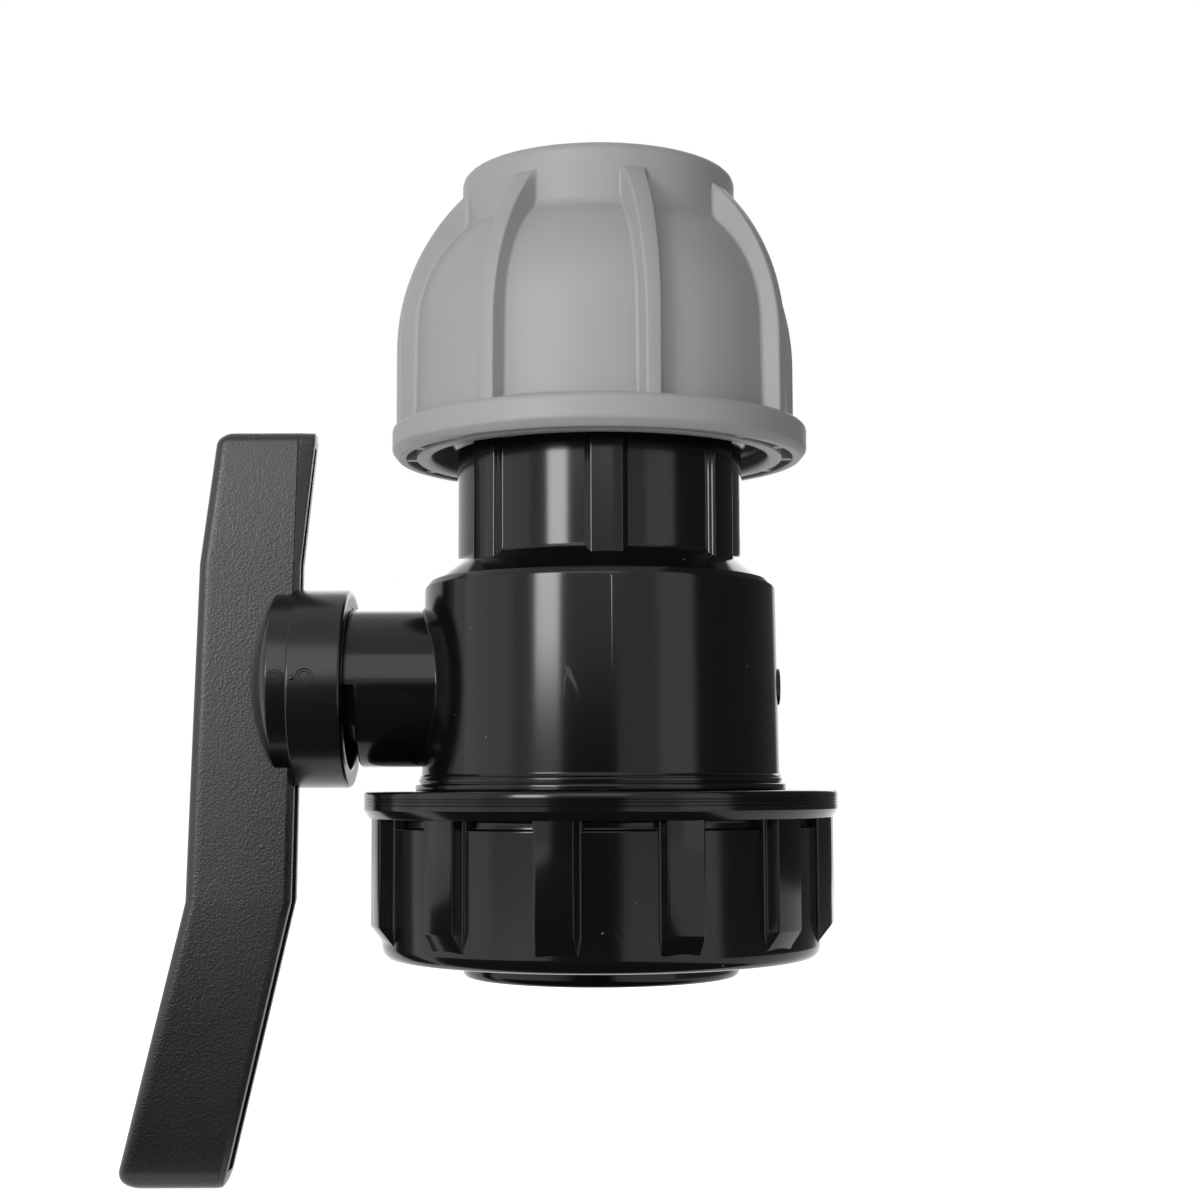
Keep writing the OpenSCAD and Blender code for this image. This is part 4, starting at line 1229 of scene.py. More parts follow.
@dataclass
class ValveBody:
    """The black body: union end, barrel, tower, neck and compression end in one moulding."""

    foot: float = 13.0
    collar_foot: float = 28.1
    collar_top: float = 30.6
    collar_r: float = 28.55
    collar_tier: float = 1.0
    collar_step_r: float = 28.0
    collar_grooves: tuple[Place, ...] = (
        (0.2, 1.15, 0.0), (0.2, 1.3, 0.0), (0.0, 1.35, 0.05),
        (0.0, 1.9, 0.1), (0.25, 1.98, 0.0), (0.25, 2.12, 0.0), (0.1, 2.18, 0.05),
    )
    barrel_flare: float = 0.1
    barrel_r: float = 27.5
    barrel_top_r: float = 27.2
    barrel_top: float = 59.4
    cone_foot: Point = (26.6, 60.3)
    neck_r: float = 22.2
    neck_foot: float = 63.6
    flare: float = 80.8
    thread_foot: float = 82.4
    thread_root_r: float = 24.4
    thread_crest_r: float = 25.9
    top: float = 93.0
    socket_r: float = 20.3
    socket_chamfer: float = 0.7
    pilot_r: float = 16.35
    pilot: Point = (65.7, 76.0)
    way_r: float = 12.5
    chamber_r: float = 20.7
    chamber_foot: float = 35.2
    chamber_top: float = 50.1
    seat_bore_r: float = 18.05
    seat_bore_foot: float = 55.1
    seat_bore_top: float = 61.1
    guide_r: float = 21.25
    guide_foot: float = 24.5
    carrier_bore_r: float = 24.025
    neck_rib_r: float = 23.35
    neck_rib_turn: float = 2.5
    neck_rib_step: float = 51.0
    neck_rib_past: Point = (1.2, 0.9)
    neck_rib_lap: float = 0.02
    neck_rib_steps: int = 12
    neck_rib: RibShape = field(default_factory=lambda: RibShape(5.3, 5.8, 0.5, 0.45, 1.2))
    tower_r: float = 12.25
    tower_root: float = 23.0
    tower_end: float = 37.0
    stop_end: float = 41.5
    stop_lap: float = 0.5
    stem_bore_r: float = 8.6
    stem_bore_x: Point = (-32.0, -16.0)
    tower_sides: int = 144
    saddle_r: float = 0.4
    saddle_steps: int = 6
    saddle_sunk: float = 1.0
    saddle_lap: float = 0.5
    gate_r: float = 2.9
    gate_x: float = 27.8
    gate_depth: float = 2.0
    gate_bevel: float = 0.12
    gate_rim: float = 1.6
    gate_hollow: float = 0.35
    seam_x: float = 1.7
    seam_half: float = 0.13
    seam_proud: float = 0.05
    seam_root: float = 0.2
    grip_pitch: float = 4.0
    union_pitch: float = 3.5

    def shell(self) -> bpy.types.Object:
        """Turn the body about the pipe axis, with its bores."""
        outline = [
            Corner(self.carrier_bore_r, self.foot, 0.3),
            Corner(self.barrel_r, self.foot, 0.8),
            Corner(self.barrel_r, self.collar_foot, 0.1),
            Corner(self.collar_r, self.collar_foot, 0.2),
            Corner(self.collar_r, self.collar_foot + self.collar_tier, 0.2),
            *(Corner(self.collar_step_r - inset, self.collar_foot + up, fillet)
              for inset, up, fillet in self.collar_grooves),
            Corner(self.barrel_r + self.barrel_flare, self.collar_top, 0.2),
            Corner(self.barrel_top_r, self.barrel_top, 0.5),
            Corner(*self.cone_foot, 0.6),
            Corner(self.neck_r, self.neck_foot, 1.0),
            Corner(self.neck_r, self.flare, 0.8),
            Corner(self.thread_root_r, self.thread_foot, 0.4),
            Corner(self.thread_root_r, self.top, 0.8),
            Corner(self.socket_r + self.socket_chamfer, self.top, 0.2),
            Corner(self.socket_r, self.top - self.socket_chamfer, 0.2),
            Corner(self.socket_r, self.pilot[1], 0.3),
            Corner(self.pilot_r, self.pilot[1], 0.3),
            Corner(self.pilot_r, self.pilot[0], 0.2),
            Corner(self.way_r, self.pilot[0], 0.3),
            Corner(self.way_r, self.seat_bore_top, 0.2),
            Corner(self.seat_bore_r, self.seat_bore_top, 0.2),
            Corner(self.seat_bore_r, self.seat_bore_foot, 0.3),
            Corner(self.chamber_r, self.chamber_top, 0.3),
            Corner(self.chamber_r, self.chamber_foot, 0.2),
            Corner(self.guide_r, self.chamber_foot, 0.2),
            Corner(self.guide_r, self.guide_foot, 0.2),
            Corner(self.carrier_bore_r, self.guide_foot, 0.2),
        ]
        piece = Bench.turn("black_body", outline, steps=192)
        return Bench.cut(piece, Bench.peg(self.stem_bore_r, *self.stem_bore_x, sides=96))

    def skin_r(self, height: float) -> float:
        """Radius of the slightly tapered barrel at a height."""
        share = (height - self.collar_top) / (self.barrel_top - self.collar_top)
        return self.barrel_r + (self.barrel_top_r - self.barrel_r) * share

    def tower(self) -> list[bpy.types.Object]:
        """Turn the tower and sweep the half-round stop at its end."""
        wall = [
            Corner(self.stem_bore_r, self.tower_root),
            Corner(self.tower_r, self.tower_root),
            Corner(self.tower_r, self.tower_end, 0.35),
            Corner(self.stem_bore_r, self.tower_end, 0.25),
        ]
        stop = [
            Corner(self.stem_bore_r, self.tower_end - self.stop_lap),
            Corner(self.tower_r, self.tower_end - self.stop_lap),
            Corner(self.tower_r, self.stop_end, 0.35),
            Corner(self.stem_bore_r, self.stop_end, 0.25),
        ]
        return [
            Bench.turn("tower", wall, Axis.STEM, steps=self.tower_sides),
            Bench.sweep(
                "tower_stop", stop, Axis.STEM, start=90, angle=180, steps=self.tower_sides // 2
            ),
        ]

    def saddle(self) -> bpy.types.Object:
        """Lay the small fillet between the tower and the barrel, as rings round the tower."""
        steps = self.saddle_steps
        barrel_r = self.skin_r(STEM_HEIGHT)
        reach = barrel_r + self.saddle_r
        path_r = self.tower_r + self.saddle_r
        rows: list[list[Vector]] = [[] for _ in range(steps + 4)]
        for side in range(self.tower_sides):
            angle = TURN * side / self.tower_sides
            off = Vector((0, math.sin(angle), math.cos(angle)))
            ball = off * path_r
            ball.x = -math.sqrt(reach**2 - ball.y**2)
            on_tower = off * self.tower_r
            on_tower.x = ball.x
            on_barrel = Vector((ball.x * barrel_r / reach, ball.y * barrel_r / reach, ball.z))
            first = on_tower - ball
            last = on_barrel - ball
            corner = off * (self.tower_r - self.saddle_sunk)
            corner.x = -math.sqrt((barrel_r - self.saddle_sunk) ** 2 - corner.y**2)
            rows[0].append(corner)
            rows[1].append(on_tower - off * self.saddle_lap)
            for step in range(steps + 1):
                rows[step + 2].append(ball + first.slerp(last, step / steps) * self.saddle_r)
            outward = Vector((on_barrel.x, on_barrel.y, 0)).normalized()
            rows[steps + 3].append(on_barrel - outward * self.saddle_lap)
        lift = Vector((0, 0, STEM_HEIGHT))
        piece = Bench.loft("tower_saddle", [[point + lift for point in row] for row in rows])
        Bench.take(piece)
        bpy.ops.object.mode_set(mode="EDIT")
        Bench.pick(piece, lambda face: len(face.verts) > 4)
        bpy.ops.mesh.delete(type="ONLY_FACE")
        bpy.ops.mesh.select_mode(type="EDGE")
        bpy.ops.mesh.select_all(action="DESELECT")
        bpy.ops.mesh.select_non_manifold()
        bpy.ops.mesh.bridge_edge_loops()
        return Bench.close(piece)

    def neck_ribs(self) -> list[bpy.types.Object]:
        """Loft the ribs down the neck, three at the front and three at the back."""
        rings = []
        foot = self.barrel_top - self.neck_rib_past[0]
        head = self.flare + self.neck_rib_past[1]
        for step in range(self.neck_rib_steps + 1):
            height = foot + (head - foot) * step / self.neck_rib_steps
            rings.append(self.neck_rib.ring(height, self.neck_r - self.neck_rib_lap, self.neck_rib_r))
        angles = [
            half + self.neck_rib_turn + side * self.neck_rib_step
            for half in (0, 180) for side in (-1, 0, 1)
        ]
        return Bench.copies(Bench.loft("neck_rib", rings), angles)

    def seam(self) -> list[bpy.types.Object]:
        """Lay the fine parting line that the two mould halves leave on the barrel, front and back."""
        left = self.seam_x - self.seam_half
        right = self.seam_x + self.seam_half
        rings = []
        for height in (self.collar_top + 0.2, self.barrel_top - 0.5):
            depth = -RibShape.curved(self.skin_r(height), self.seam_x)
            rings.append([
                Vector((left, depth + self.seam_root, height)),
                Vector((left, depth, height)),
                Vector((self.seam_x, depth - self.seam_proud, height)),
                Vector((right, depth, height)),
                Vector((right, depth + self.seam_root, height)),
            ])
        return Bench.copies(Bench.loft("seam", rings), [0, 180])

    def gate(self) -> bpy.types.Object:
        """Place the round gate mark on the side away from the stem."""
        near = self.gate_x - 0.01
        piece = Bench.peg(self.gate_r, self.gate_x - self.gate_depth, self.gate_x, sides=64)
        bpy.ops.object.mode_set(mode="EDIT")
        Bench.pick(piece, lambda face: face.calc_center_median().x > near)
        bpy.ops.mesh.bevel(offset=self.gate_bevel, segments=2, affect="EDGES")
        Bench.pick(piece, lambda face: face.calc_center_median().x > near and len(face.verts) > 4)
        bpy.ops.mesh.inset(thickness=self.gate_rim)
        bpy.ops.transform.translate(value=(-self.gate_hollow, 0, 0))
        return Bench.close(piece)

    def threads(self) -> list[bpy.types.Object]:
        """Wind the compression thread and the union thread."""
        grip = ScrewThread(
            root_r=self.thread_root_r - 0.2, crest_r=self.thread_crest_r, half_root=1.25, half_crest=0.45,
            pitch=self.grip_pitch, turns=2.15, start=self.thread_foot + 1.3,
        )
        union = ScrewThread(
            root_r=self.barrel_r - 0.2, crest_r=self.barrel_r + 1.25, half_root=1.2, half_crest=0.35,
            pitch=self.union_pitch, turns=3.6, start=self.foot + 1.6,
        )
        return [grip.wind("grip_thread"), union.wind("union_thread")]

    def build(self, dresser: Dresser) -> None:
        """Model the body and dress it.

        Args:
            dresser: Gives it its finish and its body.
        """
        shells = [
            self.shell(), *self.tower(), self.saddle(), *self.neck_ribs(), *self.seam(), self.gate(),
            *self.threads(),
        ]
        dresser.fit(Bench.join(shells), "valve_body", "valve", Finish.BLACK_BODY)


@dataclass
class UnionNut:
    """The black nut with its flange and lugs that draws the outlet to the body."""

    foot: float = 2.9
    top: float = 28.1
    wall_r: float = 33.55
    flange_r: float = 36.4
    flange_foot: float = 24.0
    relief_r: float = 32.3
    flange_chamfer: Point = (0.8, 1.3)
    turned_lines: tuple[float, ...] = (26.1, 26.6, 27.0)
    line_half: float = 0.1
    line_floor: float = 0.03
    line_depth: float = 0.09
    relief_foot: float = 22.65
    bore_r: float = 29.35
    lip_top: float = 6.9
    hole_r: float = 21.6
    hole_chamfer: float = 0.5
    bottom_round: float = 1.8
    lug_count: int = 12
    lug_turn: float = -10.5
    lug_r: float = 35.65
    lug_foot: float = 5.6
    lug_full: float = 8.3
    lug_lap: float = 0.02
    lug: RibShape = field(default_factory=lambda: RibShape(5.6, 6.1, 0.25, 0.45, 1.6))
    pitch: float = 3.5

    def shell(self) -> bpy.types.Object:
        """Turn the nut about the pipe axis, with the fine lines on its flange."""
        lines = []
        for height in self.turned_lines:
            lines += [
                Corner(self.flange_r, height - self.line_half),
                Corner(self.flange_r - self.line_depth, height - self.line_floor),
                Corner(self.flange_r - self.line_depth, height + self.line_floor),
                Corner(self.flange_r, height + self.line_half),
            ]
        chamfer, chamfer_h = self.flange_chamfer
        outline = [
            Corner(self.hole_r, self.foot + self.hole_chamfer, 0.2),
            Corner(self.hole_r + self.hole_chamfer, self.foot, 0.2),
            Corner(self.wall_r, self.foot, self.bottom_round),
            Corner(self.wall_r, self.relief_foot, 0.15),
            Corner(self.relief_r, self.relief_foot, 0.2),
            Corner(self.relief_r, self.flange_foot, 0.3),
            Corner(self.flange_r - chamfer, self.flange_foot, 0.2),
            Corner(self.flange_r, self.flange_foot + chamfer_h, 0.3),
            *lines,
            Corner(self.flange_r, self.top, 0.5),
            Corner(self.bore_r, self.top, 0.6),
            Corner(self.bore_r, self.lip_top, 0.4),
            Corner(self.hole_r, self.lip_top, 0.2),
        ]
        return Bench.turn("lugged_nut", outline, steps=192)

    def lugs(self) -> list[bpy.types.Object]:
        """Loft one lug and repeat it round the nut."""
        rings = []
        for height, stand in (
            (self.lug_foot - 0.2, 0.02),
            (self.lug_foot, 0.05),
            (self.lug_full - 0.35, 0.93),
            (self.lug_full, 1.0),
            (self.relief_foot, 1.0),
            (self.flange_foot + 0.5, 1.0),
        ):
            crest = self.wall_r + (self.lug_r - self.wall_r) * stand
            rings.append(self.lug.ring(height, self.wall_r - self.lug_lap, crest))
        return Bench.copies(Bench.loft("union_lug", rings), evenly(self.lug_count, self.lug_turn))

    def female_thread(self) -> bpy.types.Object:
        """Wind the thread inside the nut."""
        thread = ScrewThread(
            root_r=self.bore_r + 0.2, crest_r=self.bore_r - 1.2, half_root=1.1, half_crest=0.3,
            pitch=self.pitch, turns=3.7, start=self.lip_top + 7.2,
        )
        return thread.wind("union_nut_thread")

    def build(self, dresser: Dresser) -> None:
        """Model the nut and dress it.

        Args:
            dresser: Gives it its finish and its body.
        """
        nut = Bench.join([self.shell(), *self.lugs(), self.female_thread()])
        dresser.fit(nut, "union_nut", "union", Finish.BLACK_BODY)


@dataclass
class UnionConnector:
    """The collar with the female pipe thread that the union nut holds."""

    outer_r: float = 21.2
    flange: tuple[float, float, float] = (28.85, 7.0, 12.5)
    nose_r: float = 20.025
    top: float = 19.5
    thread_r: float = 16.625
    thread_depth: float = 17.0
    way_r: float = 12.7
    thread_h: float = 1.45
    pitch: float = INCH / 11

    def build(self, dresser: Dresser) -> None:
        """Model the connector and dress it.

        Args:
            dresser: Gives it its finish and its body.
        """
        flange_r, flange_foot, flange_top = self.flange
        outline = [
            Corner(self.thread_r, 0, 0.5),
            Corner(self.outer_r, 0, 0.8),
            Corner(self.outer_r, flange_foot, 0.3),
            Corner(flange_r, flange_foot, 0.4),
            Corner(flange_r, flange_top, 0.4),
            Corner(self.nose_r, flange_top, 0.2),
            Corner(self.nose_r, self.top, 0.5),
            Corner(self.way_r, self.top, 0.3),
            Corner(self.way_r, self.thread_depth, 0.3),
            Corner(self.thread_r, self.thread_depth, 0.3),
        ]
        thread = ScrewThread(
            root_r=self.thread_r + 0.15, crest_r=self.thread_r - self.thread_h, half_root=1.0,
            half_crest=0.12, pitch=self.pitch, turns=6.4, start=1.3,
        )
        ridge = thread.wind("outlet_thread")
        connector = Bench.join([Bench.turn("outlet_collar", outline, steps=160), ridge])
        dresser.fit(connector, "union_connector", "outlet", Finish.BLACK_BODY)


@dataclass(frozen=True)
class LeverStation:
    """A level of the lever: its height, the place of its outer side, its depth and its width."""

    height: float
    outer: float
    depth: float
    width: float


@dataclass
class Handle:
    """The lever handle: a bent bar with a slot, grown onto a round hub with a stop lug."""

    hub_back: float = 38.6
    hub_core: float = 42.0
    hub_parting: float = 46.8
    hub_edge: float = 50.5
    hub_r: float = 15.4
    cap_r: float = 13.8
    cap_edge_r: float = 13.3
    cap_lap: float = 0.4
    cap_shoulder: float = 0.5
    cap_lift: float = 1.0
    hollow_r: float = 12.6
    lug_r: float = 13.4
    lug_in: float = 0.2
    lug_lap: float = 0.3
    dome_arc: float = 26.5
    stem_r: float = 8.9
    socket_w: float = 11.6
    socket_end: float = 49.8
    wall: float = 2.0
    web: float = 2.4
    cut_past: float = 2.0
    boss_r: float = 2.5
    boss_end: float = 59.5
    boss_lap: float = 1.0
    stations: tuple[LeverStation, ...] = (
        LeverStation(-31.6, 73.7, 16.1, 8.0),
        LeverStation(11.4, 63.6, 15.8, 8.0),
        LeverStation(63.5, 62.3, 15.3, 6.25),
        LeverStation(84.2, 59.75, 15.0, 5.6),
    )
    outer_round: float = 1.8
    rim_out: float = 0.4
    rim_drawn: float = 0.15
    rim_round: float = 0.25
    rim_mid: float = 0.08
    tip_round: float = 2.0
    toe_round: float = 3.1
    round_steps: int = 8
    end_pinch: float = 0.75
    hold: float = 0.6
    seam_x: float = -47.0
    seam_in: float = 0.9
    seam_w: float = 0.09
    seam_depth: float = 0.08
    seam_step: float = 0.02
    draft: float = 0.4
    ring_marks: tuple[Point, ...] = ((-48.5, 1.15), (-43.9, 1.25))
    ring_mark_inner: float = 0.68
    ring_mark_wire: float = 0.08
    ring_mark_sunk: float = 0.02
    gate_mark_x: float = -45.9
    gate_mark_r: float = 0.62
    gate_mark_sunk: float = 0.35
    gate_mark_up: float = 0.9
    gate_mark_snap: Place = (0.12, 0.12, -0.08)
    gate_mark_snap_in: float = 0.1
    marks_up: float = 1.0

    def station(self, height: float) -> LeverStation:
        """Lever between its stations.

        Args:
            height: Height above the outlet mouth.

        Returns:
            The station at that height.
        """
        for low, high in zip(self.stations, self.stations[1:]):
            if height <= high.height:
                break
        share = (height - low.height) / (high.height - low.height)
        return LeverStation(
            height,
            low.outer + (high.outer - low.outer) * share,
            low.depth + (high.depth - low.depth) * share,
            low.width + (high.width - low.width) * share,
        )

    def ring(self, height: float, pinch: float, drawn: float) -> list[Vector]:
        """Level outline of the lever's outside.

        Args:
            height: Height above the outlet mouth.
            pinch: Share by which the outline is narrowed at a rounded end.
            drawn: Distance by which its outer side is drawn in at a rounded end.

        Returns:
            The points, from the rim on one side round the outer side to the rim on the other.
        """
        level = self.station(height)
        half = level.width / 2 * (1 - pinch)
        rim = -level.outer + level.depth + self.rim_out - self.rim_drawn * drawn
        outer = -level.outer + drawn
        seam = rim - self.seam_in
        if height > self.stations[2].height:
            seam = min(self.seam_x, seam)
        round_r = min(self.outer_round, 0.9 * half)
        side = [
            (rim, half - self.draft - self.rim_round),
            (rim - self.rim_mid, half - self.draft - self.rim_mid),
            (rim - self.rim_round, half - self.draft),
            (seam + self.seam_w, half - self.seam_step),
            (seam, half - self.seam_depth),
            (seam - self.seam_w, half),
            (seam - self.seam_w - self.hold, half),
            (outer + round_r + self.hold, half),
        ]
        side += [(outer + round_r * run, half - round_r * rise) for run, rise in quarter(self.round_steps)]
        points = side + [(across, -out) for across, out in reversed(side)]
        return [Vector((across, out, height)) for across, out in points]

    def lever(self) -> bpy.types.Object:
        """Loft the lever's outside with its rounded ends, and cut the slot on the valve's side."""
        foot = self.stations[0].height
        top = self.stations[-1].height
        rings = []
        for run, rise in quarter(self.round_steps):
            height = foot + self.toe_round * rise
            rings.append(self.ring(height, self.end_pinch * run, self.toe_round * run))
        for bend in self.stations[1:3]:
            rings.extend(self.ring(bend.height + off, 0, 0) for off in (-self.hold, 0, self.hold))
        for run, rise in reversed(quarter(self.round_steps)):
            height = top - self.tip_round * rise
            rings.append(self.ring(height, self.end_pinch * run, self.tip_round * run))
        return Bench.cut(Bench.loft("lever_handle", rings), self.slot())

    def slot(self) -> bpy.types.Object:
        """Loft the shape of the slot that the lever is hollowed with."""
        levels = [
            self.station(self.stations[0].height + self.web), *self.stations[1:3],
            self.station(self.stations[-1].height - self.web),
        ]
        rings = []
        for level in levels:
            half = level.width / 2 - self.wall
            floor = -level.outer + self.web
            mouth = -level.outer + level.depth + self.cut_past
            rings.append([
                Vector((mouth, -half, level.height)),
                Vector((mouth, half, level.height)),
                Vector((floor, half, level.height)),
                Vector((floor, -half, level.height)),
            ])
        return Bench.loft("slot", rings)

    def hub(self) -> bpy.types.Object:
        """Turn the round back of the hub about the stem axis, and cut the square socket."""
        outline = [
            Corner(0.0, self.hub_core),
            Corner(self.hollow_r, self.hub_core, 0.3),
            Corner(self.hollow_r, self.hub_back, 0.25),
            Corner(self.hub_r, self.hub_back, 0.5),
            Corner(self.hub_r, self.hub_parting, 0.3),
            Corner(0.0, self.hub_parting),
        ]
        return self.socketed(Bench.turn("hub", outline, Axis.STEM, steps=160))

    def cap(self) -> bpy.types.Object:
        """Turn the domed front of the hub, which sits a little higher than its back."""
        dome_x = self.hub_edge - math.sqrt(self.dome_arc**2 - self.cap_edge_r**2)
        rim = math.degrees(math.asin((self.hub_edge - dome_x) / self.dome_arc))
        outline = [
            Corner(0.0, self.hub_parting - self.cap_lap),
            Corner(self.cap_r, self.hub_parting - self.cap_lap),
            Corner(self.cap_r, self.hub_edge - self.cap_shoulder, 0.4),
            *arc((0.0, dome_x), self.dome_arc, rim, 90, steps=16),
        ]
        piece = Bench.turn("hub_cap", outline, Axis.STEM, steps=160)
        piece.data.transform(Matrix.Translation((0, 0, self.cap_lift)))
        return self.socketed(piece)

    def socketed(self, piece: bpy.types.Object) -> bpy.types.Object:
        """Cut the square socket of the stem.

        Args:
            piece: The hub or its cap.

        Returns:
            The cut piece.
        """
        depth = self.socket_end - self.hub_core + self.cut_past
        middle = (-self.socket_end + depth / 2, 0, STEM_HEIGHT)
        return Bench.cut(piece, Bench.block(middle, (depth, self.socket_w, self.socket_w)))

    def lug(self) -> bpy.types.Object:
        """Sweep the lug that runs against the two ends of the tower's stop."""
        outline = [
            Corner(self.stem_r, self.hub_back + self.lug_in, 0.2),
            Corner(self.lug_r, self.hub_back + self.lug_in, 0.2),
            Corner(self.lug_r, self.hub_core + self.lug_lap),
            Corner(self.stem_r, self.hub_core + self.lug_lap),
        ]
        return Bench.sweep("hub_lug", outline, Axis.STEM, start=1, angle=88, steps=24)

    def boss(self) -> bpy.types.Object:
        """Turn the boss that joins the hub to the web of the lever."""
        outline = [
            Corner(0.0, self.hub_edge - self.boss_lap),
            Corner(self.boss_r, self.hub_edge - self.boss_lap),
            Corner(self.boss_r, self.boss_end),
            Corner(0.0, self.boss_end),
        ]
        return Bench.turn("boss", outline, Axis.STEM, steps=64)

    def marks(self) -> list[bpy.types.Object]:
        """Place the ejector rings and the gate vestige on the front of the hub."""
        made = []
        for place, radius in self.ring_marks:
            wall = self.cap_r if place < -self.hub_parting else self.hub_r
            for share in (1.0, self.ring_mark_inner):
                Bench.clear()
                bpy.ops.mesh.primitive_torus_add(
                    major_segments=40, minor_segments=8, major_radius=radius * share,
                    minor_radius=self.ring_mark_wire,
                    location=(place, -wall + self.ring_mark_sunk, STEM_HEIGHT + self.marks_up),
                    rotation=(math.radians(90), 0, 0),
                )
                made.append(self.placed(f"ejector_ring_{len(made)}"))
        Bench.clear()
        bpy.ops.mesh.primitive_ico_sphere_add(
            subdivisions=4, radius=self.gate_mark_r,
            location=(self.gate_mark_x, -self.hub_r + self.gate_mark_sunk, STEM_HEIGHT + self.gate_mark_up),
        )
        nub = self.placed("gate_vestige")
        bpy.ops.object.mode_set(mode="EDIT")
        Bench.pick(nub, lambda face: face.calc_center_median().y < -self.hub_r + self.gate_mark_snap_in)
        bpy.ops.mesh.extrude_region_move(TRANSFORM_OT_translate={"value": self.gate_mark_snap})
        bpy.ops.mesh.vertices_smooth(factor=0.5, repeat=2)
        made.append(Bench.close(nub))
        return made

    @staticmethod
    def placed(name: str) -> bpy.types.Object:
        """Put the place of the new primitive into its mesh and give it its name."""
        piece = Bench.settle()
        piece.name = piece.data.name = name
        return piece

    def build(self, dresser: Dresser) -> None:
        """Model the handle and dress it: grained on the lever, smooth and ringed on the hub.

        Args:
            dresser: Gives it its finishes and its body.
        """
        lever = self.lever()
        dresser.paint(lever, Finish.BLACK_HANDLE)
        round_parts = [self.hub(), self.cap(), self.lug(), self.boss(), *self.marks()]
        for part in round_parts:
            dresser.paint(part, Finish.BLACK_HUB)
        handle = Bench.join([lever, *round_parts])
        dresser.fit(handle, "handle", "lever_and_ball")


@dataclass
class InnerPieces:
    """The construction solids that stay as they are and get a finish."""

    finishes: dict[str, Finish] = field(default_factory=lambda: {
        "seat_carrier": Finish.BLACK_BODY,
        "carrier_o_ring": Finish.RUBBER,
        "upper_ball_seat": Finish.WHITE_SEAT,
        "upper_seat_o_ring": Finish.RUBBER,
        "lower_ball_seat": Finish.WHITE_SEAT,
        "lower_seat_o_ring": Finish.RUBBER,
        "ball": Finish.PALE_BALL,
        "stem": Finish.BLACK_BODY,
        "stem_thrust_washer": Finish.WHITE_SEAT,
        "stem_o_ring_inner": Finish.RUBBER,
        "stem_o_ring_outer": Finish.RUBBER,
        "clinch_ring": Finish.WHITE_ACETAL,
        "thrust_bush": Finish.BLACK_BODY,
        "pipe_o_ring": Finish.RUBBER,
        "union_face_o_ring": Finish.RUBBER,
    })

    def build(self, dresser: Dresser) -> None:
        """Dress the solids.

        Args:
            dresser: Gives them their finishes.
        """
        for node, finish in self.finishes.items():
            dresser.paint(frame["nodes"][node], finish)
            log.info("%s: finish %s", node, finish.value.name)


@dataclass(frozen=True)
class Lamp:
    """A soft rectangular lamp: azimuth from the viewer, distance and height from the valve, size, power."""

    name: str
    azimuth: float
    distance: float
    lift: float
    size: Point
    watts: float


class Facing(Enum):
    """The turn that sets a level card to face one way."""

    UP = (0, 0, 0)
    SIDE = (0, 90, 0)
    BACK = (90, 0, 0)


@dataclass(frozen=True)
class Card:
    """A dark card: its middle, the way that it faces, its two sides and how grey it is."""

    name: str
    middle: Place
    facing: Facing
    size: Point
    grey: float


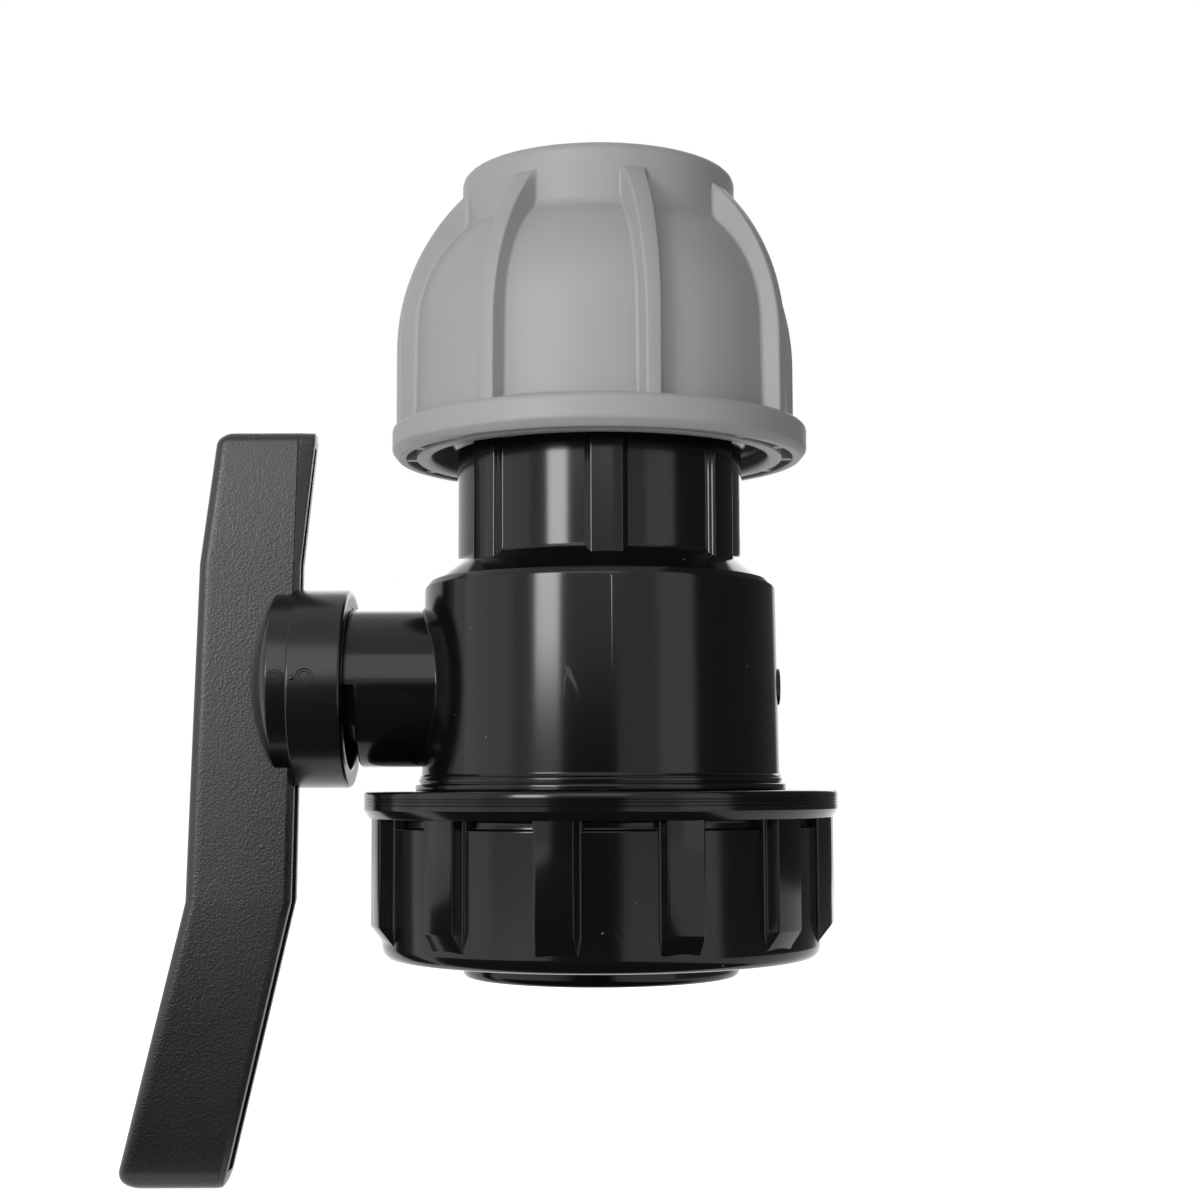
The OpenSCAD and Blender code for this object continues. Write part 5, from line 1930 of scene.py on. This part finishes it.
@dataclass
class Studio:
    """The camera at the viewer's place, the lamps, the dark cards and a pale floor."""

    lens: float = 60.0
    sensor: float = 36.0
    camera_back: float = 311.2
    camera_height: float = 28.9
    pitch_up: float = 5.3
    roll: float = 0.22
    floor_drop: float = 1.5
    floor_side: float = 12.0
    floor_grey: float = 0.85
    middle: float = 60.0
    lamps: tuple[Lamp, ...] = (
        Lamp("strip", -33.0, 620.0, 97.0, (170.0, 130.0), 1.3),
        Lamp("front", -14.0, 700.0, 370.0, (800.0, 500.0), 2.5),
        Lamp("left", -75.0, 500.0, 60.0, (350.0, 400.0), 0.28),
        Lamp("right", 48.0, 600.0, 90.0, (250.0, 400.0), 0.24),
        Lamp("back", 165.0, 700.0, 320.0, (900.0, 500.0), 2.2),
    )
    cards: tuple[Card, ...] = (
        Card("side_card", (260.0, 195.0, 270.0), Facing.SIDE, (600.0, 690.0), 0.25),
        Card("low_card", (-65.0, -330.0, -31.5), Facing.UP, (250.0, 640.0), 0.15),
        Card("front_card", (-55.0, -430.0, 23.0), Facing.BACK, (270.0, 106.0), 0.08),
    )
    ambient: float = 0.1
    floor_glow: float = 0.95

    def camera(self) -> None:
        """Set up the camera."""
        data = bpy.data.cameras.new("camera")
        data.lens = self.lens
        data.sensor_width = self.sensor
        data.clip_start = 0.01
        data.clip_end = 50
        camera = bpy.data.objects.new("camera", data)
        bpy.context.scene.collection.objects.link(camera)
        camera.location = Vector((0, -self.camera_back, self.camera_height)) * MM
        camera.rotation_mode = "XYZ"
        look = Matrix.Rotation(math.radians(90 + self.pitch_up), 4, "X")
        camera.rotation_euler = (look @ Matrix.Rotation(math.radians(-self.roll), 4, "Z")).to_euler()
        bpy.context.scene.camera = camera

    def hang(self, lamp: Lamp) -> None:
        """Hang a soft rectangular lamp that faces the middle of the valve.

        Args:
            lamp: Its place, size and power.
        """
        data = bpy.data.lights.new(lamp.name, "AREA")
        data.shape = "RECTANGLE"
        data.size = lamp.size[0] * MM
        data.size_y = lamp.size[1] * MM
        data.energy = lamp.watts
        hung = bpy.data.objects.new(lamp.name, data)
        bpy.context.scene.collection.objects.link(hung)
        hung.visible_camera = False
        angle = math.radians(lamp.azimuth)
        offset = Vector((math.sin(angle) * lamp.distance, -math.cos(angle) * lamp.distance, lamp.lift))
        hung.location = (Vector((0, 0, self.middle)) + offset) * MM
        hung.rotation_euler = offset.to_track_quat("Z", "Y").to_euler()

    def world(self) -> None:
        """Make the surroundings white to the camera and in reflections, and weak as light."""
        world = bpy.data.worlds.new("studio")
        world.use_nodes = True
        bpy.context.scene.world = world
        world.node_tree.nodes.clear()
        wiring = Wiring(world.node_tree)
        span = wiring.times(wiring.seen(), 1 - self.ambient)
        background = wiring.add("ShaderNodeBackground")
        background.inputs["Color"].default_value = (1, 1, 1, 1)
        wiring.feed(background.inputs["Strength"], wiring.plus(span, self.ambient))
        wiring.show(background, "ShaderNodeOutputWorld")

    def floor(self) -> None:
        """Lay the pale floor just under the lever's foot."""
        low = node_box("handle")[0].z - self.floor_drop
        Bench.clear()
        bpy.ops.mesh.primitive_plane_add(size=self.floor_side, location=(0, 0, low * MM))
        floor = bpy.context.object
        floor.name = floor.data.name = "floor"
        material, wiring = bare_material("pale_floor")
        diffuse = wiring.add("ShaderNodeBsdfDiffuse")
        diffuse.inputs["Color"].default_value = (self.floor_grey, self.floor_grey, self.floor_grey, 1)
        glow = wiring.add("ShaderNodeEmission")
        wiring.feed(glow.inputs["Strength"], wiring.times(wiring.seen(), self.floor_glow))
        both = wiring.add("ShaderNodeAddShader")
        wiring.feed(both.inputs[0], diffuse.outputs[0])
        wiring.feed(both.inputs[1], glow.outputs[0])
        wiring.show(both)
        floor.data.materials.append(material)

    def stand(self, card: Card) -> None:
        """Stand or lay a dark card, unseen by the camera, that the glossy plastic reflects.

        Args:
            card: Its place, size and grey.
        """
        Bench.clear()
        turn = tuple(math.radians(angle) for angle in card.facing.value)
        bpy.ops.mesh.primitive_plane_add(size=1, location=Vector(card.middle) * MM, rotation=turn)
        made = bpy.context.object
        made.name = made.data.name = card.name
        made.scale = (card.size[0] * MM, card.size[1] * MM, 1)
        Bench.settle()
        made.visible_camera = made.visible_diffuse = made.visible_shadow = False
        material, wiring = bare_material(card.name)
        diffuse = wiring.add("ShaderNodeBsdfDiffuse")
        diffuse.inputs["Color"].default_value = (card.grey, card.grey, card.grey, 1)
        wiring.show(diffuse)
        made.data.materials.append(material)

    def build(self) -> None:
        """Set up the whole studio."""
        bpy.context.scene.view_settings.view_transform = "Standard"
        self.camera()
        for lamp in self.lamps:
            self.hang(lamp)
        for card in self.cards:
            self.stand(card)
        self.world()
        self.floor()


def main() -> None:
    """Build the studio and every sub-assembly in order."""
    logging.basicConfig(level=logging.INFO, format="%(name)s: %(message)s")
    dresser = Dresser()
    Studio().build()
    CompressionNut().build(dresser)
    ValveBody().build(dresser)
    UnionNut().build(dresser)
    UnionConnector().build(dresser)
    Handle().build(dresser)
    InnerPieces().build(dresser)


if __name__ == "__main__":
    main()
